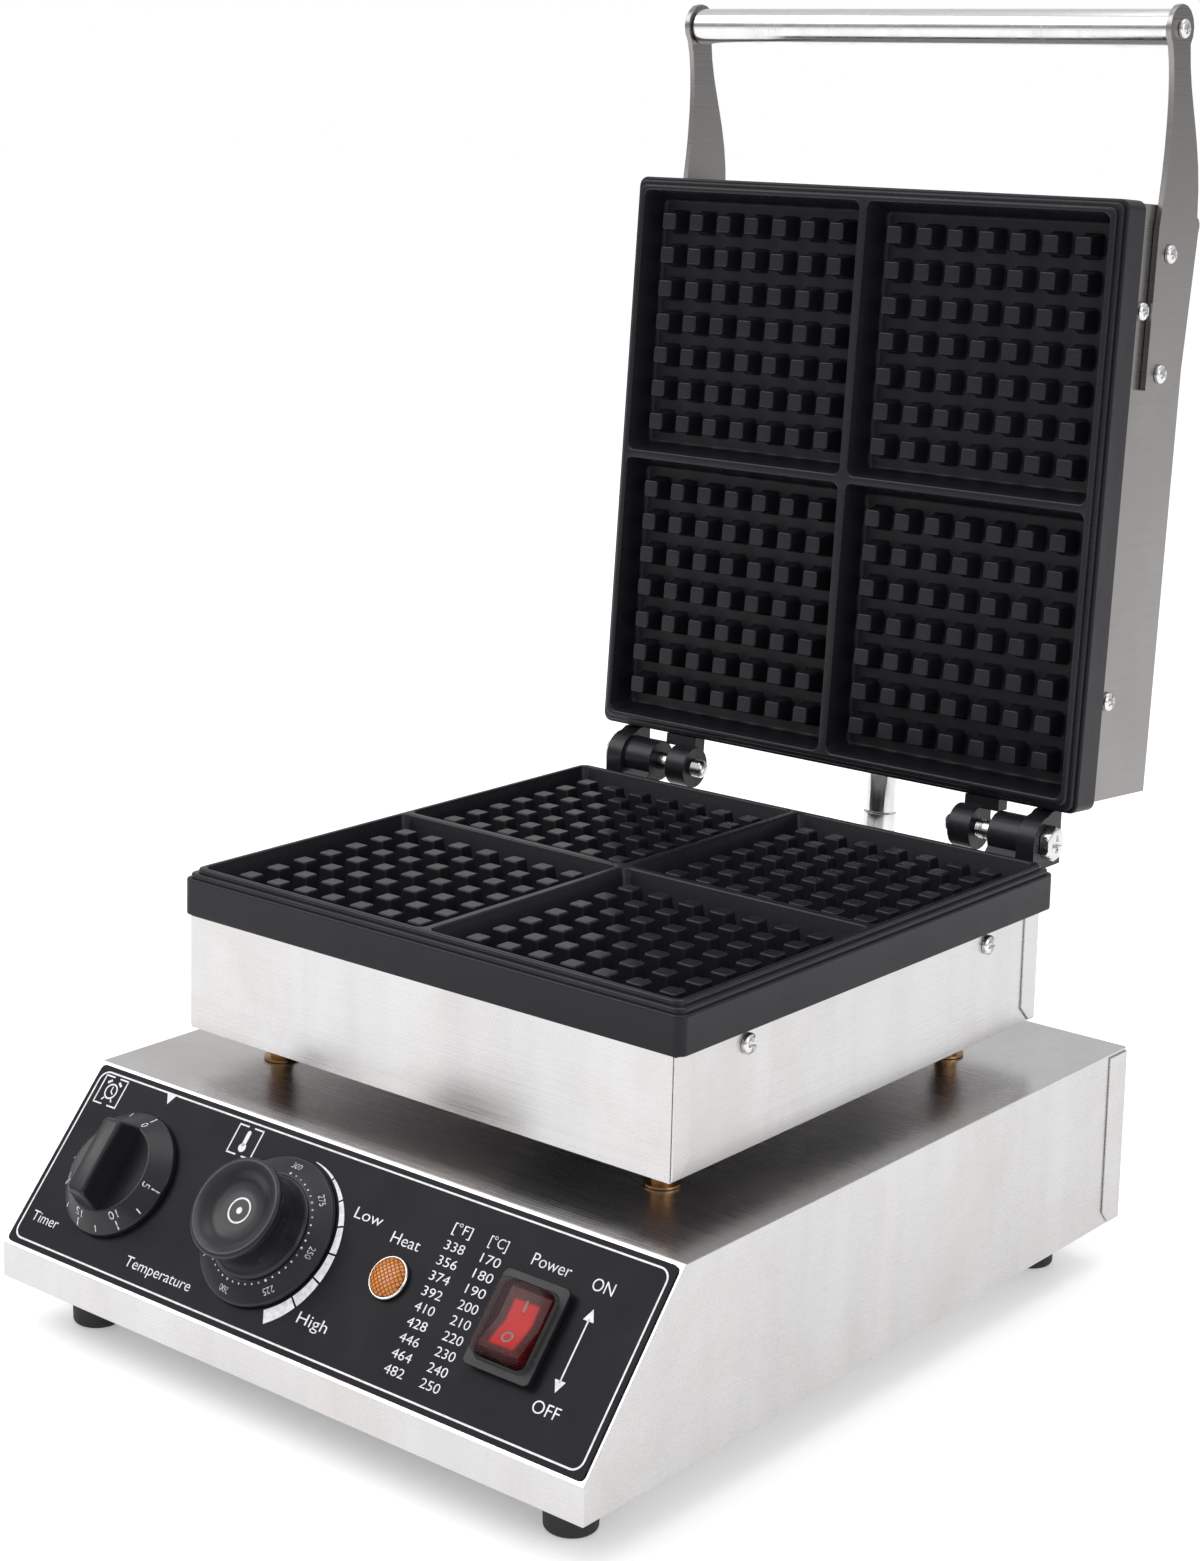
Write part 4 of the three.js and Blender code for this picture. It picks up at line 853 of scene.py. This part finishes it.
def hinge_bolts():
    """Hexagon heads with chamfered corners and a cross recess, and a domed threaded tip."""
    corner, height, shank = 7.5, 4.4, 4.0
    pitch, thread_depth, thread_length, tip = 1.25, 0.55, 18, 2.2
    turns = int(thread_length / pitch)
    for side, sign in (("left", -1), ("right", 1)):
        node = f"hinge_bolt_{side}"
        low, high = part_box(node)
        outer = (high.x if sign > 0 else -low.x) - height * MM
        length = (high.x - low.x) / MM - height
        matrix = side_matrix(Vector((sign * outer, HINGE.y, HINGE.z)), sign)
        profile = [(AXIS, -length), (1.8, 0.15 - length), (3.1, 0.9 - length), (3.7, 1.7 - length)]
        for i in range(turns):
            root = -length + tip + i * pitch
            profile += [(shank, root), (shank - thread_depth, root + pitch / 2)]
        profile += [(shank, -length + tip + turns * pitch), (shank, 0.2), (AXIS, 0.3)]
        work = bmesh.new()
        work.from_mesh(lathe("shank", profile, matrix, 48))
        work.from_mesh(hexagon_head(matrix, corner, height))
        stand_in(node, shade(finished(work, node + "_detail")), bright, "base")


def hexagon_head(matrix, corner, height, sides=72, rings=14):
    """A hexagon head with a chamfered, slightly domed and recessed top."""
    flat = corner * math.cos(math.pi / 6)
    turns = [2 * math.pi * i / sides for i in range(sides)]

    def edge(turn):
        return flat / math.cos((turn + math.pi / 6) % (math.pi / 3) - math.pi / 6)

    points = []
    for share, z in ((0.02, 0.0), (1.0, 0.0), (1.0, height * 0.72)):
        ring_points = [polar(edge(turn) * share, turn) for turn in turns]
        points.append([placed(matrix, x, y, z) for x, y in ring_points])
    for number in range(rings + 1):
        share = max(0.01, 1 - number / rings)
        row = []
        for turn in turns:
            radius = min(edge(turn), flat * 1.02) * share
            x, y = polar(radius, turn)
            z = height - 0.5 * (radius / flat) ** 4 - cross_recess(x, y, *BOLT_RECESS)
            row.append(placed(matrix, x, y, z))
        points.append(row)
    return skin("hexagon_head", points)


side_screws()
hinge_bolts()


# ---- round pieces

def handle_tube():
    low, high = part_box("handle_tube")
    half = (high.x - low.x) / 2 / MM
    radius, bore = (high.z - low.z) / 2 / MM, 2.2
    end = [(radius - 1.3, half), (radius - 1.1, half - 0.5), (radius - 0.7, half), (radius, half - 0.6)]
    profile = [(bore, -half)] + [(r, -x) for r, x in end] + end[::-1] + [(bore, half), (bore, -half)]
    mesh = lathe("handle_tube_detail", profile, side_matrix(centre("handle_tube"), 1), 96)
    stand_in("handle_tube", mesh, bright, "lid")


def upright(node):
    place = centre(node)
    return Matrix.Translation((place.x, place.y, 0))


def feet():
    profile = rounded(
        [
            (AXIS, 1.5), (4, 1.5), (4, 0), (8.6, 0), (9.7, 1.0), (10.2, 18.9), (2.6, 18.9),
            (2.6, 21), (AXIS, 21),
        ],
        0.8,
    )
    for node in [name for name in sorted(NODES) if name.startswith("foot_")]:
        mesh = lathe(node + "_detail", profile, upright(node), 72)
        stand_in(node, mesh, black_rubber, "base")


def pillars():
    """Turned stand-offs with a groove, a seating flange and a washer on the base."""
    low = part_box("base_casing")[1].z / MM
    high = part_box("lower_casing")[0].z / MM
    profile = [
        (2.8, low - 4.8), (3.6, low - 4.8), (3.6, low + 0.25), (7.2, low + 0.25), (7.2, low + 1.1),
        (4.6, low + 1.15), (4.6, low + 3.2), (4.2, low + 3.5), (4.6, low + 3.8), (4.6, high - 4.6),
        (6.5, high - 3.9), (6.5, high - 0.3), (3.6, high - 0.3), (3.6, high + 4.8), (2.8, high + 4.8),
        (2.8, low - 4.8),
    ]
    for node in [name for name in sorted(NODES) if name.startswith("pillar_")]:
        mesh = lathe(node + "_detail", profile, upright(node), 48)
        stand_in(node, mesh, tinted, "base")


handle_tube()
feet()
pillars()


# ---- control panel print

PRINT = 0.06  # thickness of the ink, millimetres
FACE_MM = FACE / MM
CAP_HEIGHT = 0.73  # of a letter, as a share of the font's size
DIAL_X = THERMOSTAT.x / MM


def letters(text, width, height):
    """Points and faces of a word, in millimetres about its middle."""
    curve = bpy.data.curves.new("letters", "FONT")
    curve.body = text
    curve.align_x = "CENTER"
    curve.align_y = "CENTER"
    curve.size = 1
    curve.resolution_u = 4
    curve.offset = -0.006
    curve.extrude = 0.5
    holder = bpy.data.objects.new("letters", curve)
    SCENE.collection.objects.link(holder)
    bpy.context.view_layer.update()
    mesh = bpy.data.meshes.new_from_object(holder.evaluated_get(bpy.context.evaluated_depsgraph_get()))
    bpy.data.objects.remove(holder)
    xs = [vertex.co.x for vertex in mesh.vertices]
    middle = (min(xs) + max(xs)) / 2
    stretch = width / (max(xs) - min(xs))
    rise = height / CAP_HEIGHT
    for vertex in mesh.vertices:
        x, y, z = vertex.co
        vertex.co = ((x - middle) * stretch, y * rise, z * PRINT)
    return mesh


def place_letters(work, text, at, size, turn=0.0):
    """Adds a word to a print, lying at (x, y), turned about its middle."""
    mesh = letters(text, *size)
    mesh.transform(Matrix.Translation((*at, 0)) @ Matrix.Rotation(turn, 4, "Z"))
    work.from_mesh(mesh)
    bpy.data.meshes.remove(mesh)


def sector(start, end, inner, outer, steps=10):
    """A band's outline between two angles in degrees; a radius may be given for each end."""
    def side(radius, first, last):
        radii = radius if isinstance(radius, tuple) else (radius, radius)
        points = []
        for i in range(steps + 1):
            share = i / steps
            turn = math.radians(first + (last - first) * share)
            r = radii[0] + (radii[1] - radii[0]) * share
            points.append((r * math.cos(turn), r * math.sin(turn)))
        return points

    flipped = outer[::-1] if isinstance(outer, tuple) else outer
    return side(inner, start, end) + side(flipped, end, start)


def bar(start, end, width):
    """A straight stroke's outline."""
    a, b = Vector(start), Vector(end)
    side = (b - a).normalized().orthogonal() * width / 2
    return [tuple(a - side), tuple(b - side), tuple(b + side), tuple(a + side)]


HALF_PRINT = PRINT / 2


def flat_plate(work, outline, hole=None):
    """Adds a plate of ink to a bmesh, in millimetres: an outline, or the band between it and a hole
    that has as many points."""
    def level(points, side):
        return [work.verts.new((x, y, side * HALF_PRINT)) for x, y in points]

    bottom, top = level(outline, -1), level(outline, 1)
    if hole is None:
        tie(work, [bottom, top])
        work.faces.new(bottom[::-1])
        work.faces.new(top)
    else:
        tie(work, [bottom, top, level(hole, 1), level(hole, -1), bottom])


def lay(work, name, material, body, matrix, height):
    """Turns a print drawn in millimetres into a piece that lies on a surface of a given height."""
    for vertex in work.verts:
        x, y, z = vertex.co
        vertex.co = matrix @ (Vector((x, y, height(x, y) + z + HALF_PRINT)) * MM)
    bmesh.ops.recalc_face_normals(work, faces=work.faces)
    return add_object(name, finished(work, name), material, body)


def legends(work):
    words = (
        ("Timer", (-131.5, -26.6), (15.0, 4.4)),
        ("Temperature", (-65.2, -29.2), (35.6, 4.4)),
        ("Low", (14.4, 18.0), (13.4, 4.6)),
        ("High", (13.0, -24.4), (14.6, 4.6)),
        ("Heat", (34.8, 14.3), (13.6, 4.6)),
        ("Power", (97.5, 24.2), (17.4, 4.8)),
        ("ON", (120.8, 23.2), (9.2, 4.8)),
        ("OFF", (120.8, -22.0), (11.6, 4.8)),
    )
    for text, at, size in words:
        place_letters(work, text, at, size)


def temperature_table(work):
    """Both columns of the conversion table, a row for every 10 degrees Celsius."""
    top, pitch, heading = 18.3, 5.93, 25.1
    columns = ((55.8, "F", 9.0), (72.7, "C", 8.8))
    for x, unit, width in columns:
        place_letters(work, f"[°{unit}]", (x, heading), (width * 0.95, 3.9))
    for row, celsius in enumerate(range(170, 260, 10)):
        fahrenheit = round(celsius * 9 / 5 + 32)
        for (x, _, width), value in zip(columns, (fahrenheit, celsius)):
            place_letters(work, str(value), (x, top - row * pitch), (width, 3.7))


def border(work):
    outer, inner = rectangle(287.0, 73.4, 4.5), rectangle(285.6, 72.0, 3.8)
    flat_plate(work, outer, inner)


def heat_scale(work):
    """Seven segments round the thermostat, wider towards the hot end."""
    stations = (81, 58.6, 39.4, 20.4, 1.4, -17.8, -37.4, -61.0)
    gap = 0.7
    inner = 30.6
    for number, (start, end) in enumerate(zip(stations, stations[1:])):
        outer = (inner + 0.35 + 0.72 * number, inner + 0.35 + 0.72 * (number + 1))
        flat_plate(work, shifted(sector(start - gap, end + gap, inner, outer), DIAL_X, 0))


def icon_frame(work, x, y):
    """A square bracket on each side of an icon, open in the middle above and below."""
    half_width, half_height, stroke, opening = 6.3, 5.8, 0.6, 1.5
    for sx in (-1, 1):
        side = x + sx * half_width
        flat_plate(work, bar((side, y - half_height), (side, y + half_height), stroke))
        for sy in (-1, 1):
            level = y + sy * half_height
            flat_plate(work, bar((x + sx * opening, level), (side + sx * stroke / 2, level), stroke))


def ring(work, x, y, outer, inner, steps=36):
    outline = shifted(circle(outer, steps), x, y)
    flat_plate(work, outline, shifted(circle(inner, steps), x, y) if inner > 0 else None)


def clock_icon(work):
    x, y = -134.0, 29.2
    icon_frame(work, x, y)
    ring(work, x, y, 3.3, 2.65)
    flat_plate(work, bar((x, y - 0.2), (x, y + 2.0), 0.5))
    flat_plate(work, bar((x, y), (x + 1.5, y - 1.1), 0.5))
    for sign in (-1, 1):
        flat_plate(work, bar((x + sign * 2.0, y + 4.4), (x + sign * 3.9, y + 3.0), 1.0))
        flat_plate(work, bar((x + sign * 1.9, y - 3.0), (x + sign * 2.8, y - 4.2), 0.6))


def thermometer_icon(work):
    x, y = -57.2, 28.6
    icon_frame(work, x, y)
    flat_plate(work, shifted(rectangle(1.9, 6.4, 0.9, 4), x, y + 1.2))
    ring(work, x, y - 2.6, 1.8, 0)


def arrows(work):
    x, top, bottom = 121.0, 15.2, -15.4
    flat_plate(work, bar((x, bottom + 3.5), (x, top - 3.5), 0.6))
    for tip, sign in ((top, -1), (bottom, 1)):
        back = tip + sign * 4.4
        points = [(x, tip), (x - 2.3, back), (x + 2.3, back)]
        flat_plate(work, points if sign > 0 else points[::-1])


def pointer(work):
    """The mark that the timer's scale is read against."""
    flat_plate(work, [(-103.2, 32.0), (-100.9, 36.0), (-105.6, 36.0)][::-1])


def panel_print():
    work = bmesh.new()
    icons = (clock_icon, thermometer_icon)
    for draw in (border, legends, temperature_table, heat_scale, *icons, arrows, pointer):
        draw(work)
    lay(work, "panel_print", ink, "base", PANEL, lambda x, y: FACE_MM + 0.02)


panel_print()


# ---- knobs

KNOB_SEAT = FACE + 0.5 * MM


def knob_matrix(pivot):
    place = Vector((pivot.x, PANEL.translation.y, PANEL.translation.z))
    return axes(ACROSS, UP_SLOPE, OUT, place + OUT * KNOB_SEAT)


def on_cone(inner, outer):
    """Height of a cone through two (radius, height) points, over its axis."""
    (r0, z0), (r1, z1) = inner, outer
    return lambda x, y: z0 + (math.hypot(x, y) - r0) * (z1 - z0) / (r1 - r0) + 0.03


def around(work, text, radius, degrees, size):
    """A word set round a dial, upright to someone who looks from outside."""
    turn = math.radians(degrees)
    at = (radius * math.cos(turn), radius * math.sin(turn))
    place_letters(work, text, at, size, turn - math.pi / 2)


def timer_knob():
    matrix = knob_matrix(TIMER)
    skirt = rounded(
        [
            (AXIS, 3), (5.5, 3), (5.5, 0.05), (8, 0.05), (8, 4), (23.5, 2), (24.6, 0.05),
            (25.7, 0.05), (25.5, 2.2), (18.2, 8.2), (16.5, 8.0), (AXIS, 6.8),
        ],
        0.5,
    )
    levels = [
        (10.6, 37.0, 2.0, 5.6), (10.4, 36.6, 2.0, 6.8), (9.6, 34.4, 1.6, 12.0), (8.9, 32.2, 1.5, 17.2),
        (8.6, 31.2, 1.6, 18.6), (7.9, 30.0, 1.6, 19.3), (6.8, 28.6, 1.4, 19.6),
    ]
    work = bmesh.new()
    work.from_mesh(lathe("skirt", skirt, matrix, 96))
    work.from_mesh(loft("grip", levels, matrix))
    mesh = shade(finished(work, "timer_knob_detail"), 30)
    stand_in("timer_knob", mesh, knob_plastic, "timer")
    marks = bmesh.new()
    for text, degrees in (("0", 78), ("5", -4), ("10", -53), ("15", -103), ("20", -153)):
        around(marks, text, 20.2, degrees, (1.9 * len(text), 2.6))
        tick(marks, degrees, 22.3, 25.0, 0.55)
    for degrees in (-28, -78, -128, -178, 108):
        tick(marks, degrees, 22.6, 24.6, 0.5)
    surface = on_cone((18.2, 8.2), (25.5, 2.2))
    lay(marks, "timer_scale", faded_ink, "timer", matrix, surface)


def tick(work, degrees, inner, outer, width):
    turn = math.radians(degrees)
    flat_plate(work, bar(polar(inner, turn), polar(outer, turn), width))


def thermostat_knob():
    matrix = knob_matrix(THERMOSTAT)
    profile = rounded(
        [
            (AXIS, 3), (5.5, 3), (5.5, 0.05), (8, 0.05), (8, 3.4), (27.5, 2), (28.5, 0.05),
            (29.6, 0.05), (29.4, 1.8), (21.0, 5.0), (20.2, 4.6), (19.4, 5.6), (18.0, 10.5),
            (17.9, 13.5), (18.6, 17.4), (19.7, 20.8), (19.6, 22.8), (18.2, 23.4), (15.0, 22.4),
            (11.5, 20.3), (7.5, 19.5), (AXIS, 19.5),
        ],
        1.3,
    )
    mesh = lathe("thermostat_knob_detail", profile, matrix, 128)
    stand_in("thermostat_knob", mesh, knob_plastic, "thermostat")
    marks = bmesh.new()
    spacing, dots = 46.5, 6
    for number, value in enumerate(range(300, 125, -25)):
        degrees = 88 - number * spacing
        around(marks, str(value), 25.6, degrees, (4.6, 2.5))
        for dot in range(dots):
            x, y = polar(22.2, math.radians(degrees - dot * spacing / dots))
            ring(marks, x, y, 0.5 if dot == 0 else 0.36, 0, 12)
    surface = on_cone((21.0, 5.0), (29.4, 1.8))
    lay(marks, "thermostat_scale", faded_ink, "thermostat", matrix, surface)
    badge = bmesh.new()
    ring(badge, 0, 0, 5.1, 4.4, 48)
    ring(badge, 0, 0, 1.3, 0, 24)
    lay(badge, "thermostat_badge", ink, "thermostat", matrix, lambda x, y: 19.53)


timer_knob()
thermostat_knob()


# ---- lamp and switch

def lamp():
    matrix = axes(ACROSS, UP_SLOPE, OUT, PANEL @ Vector((LAMP_X, 0, 0)))
    top = FACE_MM + 0.3
    rim = rounded(
        [
            (4.6, -22), (5.8, -22), (5.8, top), (8.2, top), (8.2, top + 1.3), (7.8, top + 1.8),
            (7.4, top + 1.7), (7.3, top + 0.8), (4.6, top + 0.8), (4.6, -22),
        ],
        0.3,
    )
    stand_in("lamp_holder", lathe("lamp_rim", rim, matrix, 72), bright, "base")
    radius, rise, seat = 7.2, 1.7, top + 2.0
    dome = [(AXIS, -12), (4.4, -12), (4.4, top + 1.0), (7.25, top + 1.0), (radius, seat)]
    for step in range(1, 8):
        turn = step * math.pi / 16
        dome.append((radius * math.cos(turn), seat + rise * math.sin(turn)))
    dome.append((AXIS, seat + rise))
    stand_in("lamp_lens", lathe("lamp_dome", dome, matrix, 72), amber, "base")


def switch():
    """A lit rocker marked I and O under a soft splash cover."""
    refine("switch_housing", black_plastic, 0.25, 2)
    refine("switch_rocker", red, 0.7, 4)
    tilt, facet = math.radians(-10), math.atan2(2.4, 11.3)
    pivot = axes(ACROSS, UP_SLOPE, OUT, ROCKER) @ Matrix.Rotation(tilt, 4, "X")
    for name, sign in (("on", 1), ("off", -1)):
        mark = bmesh.new()
        if sign > 0:
            flat_plate(mark, rectangle(0.9, 4.2, 0.3, 3))
        else:
            ring(mark, 0, 0, 2.3, 1.5, 40)
        spot = Matrix.Translation((0, sign * 6.2 * MM, 6.95 * MM)) @ Matrix.Rotation(sign * facet, 4, "X")
        lay(mark, f"rocker_mark_{name}", ink, "rocker", pivot @ spot, lambda x, y: 0.05)
    matrix = axes(ACROSS, UP_SLOPE, OUT, PANEL @ Vector((SWITCH_X, 0, 0)))
    low = FACE_MM + 2.5
    flange = [
        (22.4, 28.4, 3.4, low + 1.2), (22.0, 28.0, 3.2, low), (29.2, 35.6, 2.2, low),
        (29.6, 36.0, 2.4, low + 0.3), (29.6, 36.0, 2.4, low + 1.0), (29.2, 35.6, 2.2, low + 1.3),
        (24.4, 30.4, 3.6, low + 1.35), (23.6, 29.6, 3.6, low + 2.2), (22.8, 28.8, 3.6, low + 2.6),
        (22.4, 28.4, 3.4, low + 1.2),
    ]
    dome = [
        (17.6, 23.6, 2.6, 10.4), (20.0, 26.0, 3.2, 9.9), (21.2, 27.2, 3.2, 8.4),
        (22.0, 28.0, 3.0, low + 2.0), (22.8, 28.8, 3.4, low + 2.0), (22.8, 28.8, 3.6, 8.6),
        (22.2, 28.2, 3.6, 10.4), (20.8, 26.8, 3.4, 11.3), (18.6, 24.6, 2.8, 11.5),
    ]
    collar = loft("flange", flange, matrix, True)
    collar = add_object("switch_cover_flange", collar, vinyl, "base")
    add_object("switch_cover_dome", loft("dome", dome, matrix), clear_dome, "base")
    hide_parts("switch_cover")


lamp()
switch()


# ---- conduit

HOSE_RADIUS = 6.5
HOSE_GLAND = (62, 46)  # across and up, from the base's middle and the worktop
FERRULE_Y, FERRULE_TIP = 48.3, -24.3  # behind the grid's face and below the hinge, on the lid


def spline(points, share):
    """A point on the centripetal Catmull-Rom curve through the points."""
    last = len(points) - 1
    position = min(share * last, last - 1e-9)
    i = int(position)
    start = points[i - 1] if i > 0 else points[0] * 2 - points[1]
    end = points[i + 2] if i + 2 <= last else points[last] * 2 - points[last - 1]
    p = (start, points[i], points[i + 1], end)
    t = [0.0]
    for a, b in zip(p, p[1:]):
        t.append(t[-1] + math.sqrt((b - a).length))
    u = t[1] + (position - i) * (t[2] - t[1])

    def between(a, b, low, high):
        return a * ((high - u) / (high - low)) + b * ((u - low) / (high - low))

    a = [between(p[k], p[k + 1], t[k], t[k + 1]) for k in range(3)]
    b = [between(a[k], a[k + 1], t[k], t[k + 2]) for k in range(2)]
    return between(b[0], b[1], t[1], t[2])


def hose_route():
    """The route of the CAD hose: the lid's ferrule, a slack loop, the gland on the base."""
    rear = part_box("base_casing")[1].y
    gland_face = (rear - FRONT) / MM + 12
    end = (placed(LID, 0, FERRULE_Y, FERRULE_TIP) - Vector((0, FRONT, 0))) / MM
    down = Vector((0, math.sin(-LEAN), -math.cos(LEAN)))
    x, z = HOSE_GLAND
    points = [
        end,
        end + down * 12,
        Vector((-4, end.y + 1, 108)),
        Vector((-8, end.y + 8, 70)),
        Vector((4, end.y + 16, 38)),
        Vector((32, end.y + 18, 26)),
        Vector((56, end.y + 8, 32)),
        Vector((x, gland_face + 9, z)),
        Vector((x, gland_face + 0.6, z)),
    ]
    return [point * MM + Vector((0, FRONT, 0)) for point in points]


def hose():
    """Interlocked steel hose: a spiral ridge on a swept circle."""
    points = hose_route()
    count, sides, pitch = 620, 28, 3.4 * MM
    path = [spline(points, i / count) for i in range(count + 1)]
    across = Vector((1, 0, 0))
    rings, travelled = [], 0.0
    for i, place in enumerate(path):
        ahead = path[min(i + 1, count)] - path[max(i - 1, 0)]
        along = ahead.normalized()
        across = (across - along * across.dot(along)).normalized()
        beside = along.cross(across)
        if i:
            travelled += (place - path[i - 1]).length
        loop = []
        for k in range(sides):
            turn = 2 * math.pi * k / sides
            wave = math.sin(2 * math.pi * travelled / pitch + turn)
            radius = (HOSE_RADIUS - 0.45 + 0.45 * math.tanh(2.2 * wave)) * MM
            loop.append(place + (across * math.cos(turn) + beside * math.sin(turn)) * radius)
        rings.append(loop)
    piece = bpy.data.objects.new("conduit_hose_detail", skin("conduit_hose_detail", rings))
    SCENE.collection.objects.link(piece)
    piece.data.materials.append(bright)
    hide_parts("conduit_hose")
    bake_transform(piece)


def conduit_ends():
    lid_foot = LID @ Matrix.Translation(Vector((0, FERRULE_Y, 0)) * MM)
    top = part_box("conduit_ferrule")[1]
    reach = ((top.z - HINGE.z) / MM) / math.cos(LEAN) + 3
    profile = rounded(
        [
            (4.5, -24), (7.4, -24), (7.4, -21.5), (6.9, -21), (7.4, -20.5), (7.4, -13), (6.5, -12.6),
            (6.5, reach), (4.5, reach), (4.5, -24),
        ],
        0.3,
    )
    mesh = lathe("ferrule", profile, lid_foot, 56)
    stand_in("conduit_ferrule", mesh, bright, "lid")
    refine("conduit_grommet", black_rubber, 0.4, 2)
    refine("conduit_gland", bright, 0.5, 2)
    refine("cord_gland", black_plastic, 0.5, 2)


hose()
conduit_ends()


# ---- pieces inside

for node in ("timer_body", "thermostat_body"):
    refine(node, black_plastic, 0.4, 2)
for node in ("timer_spindle", "thermostat_spindle"):
    refine(node, bright, 0.2, 2)
for node in ("lower_heater", "upper_heater"):
    refine(node, tinted, 0.3, 1)
refine("terminal_block", white_ceramic, 0.3, 2)
refine("thermostat_line", bare_copper, 0.2, 1)
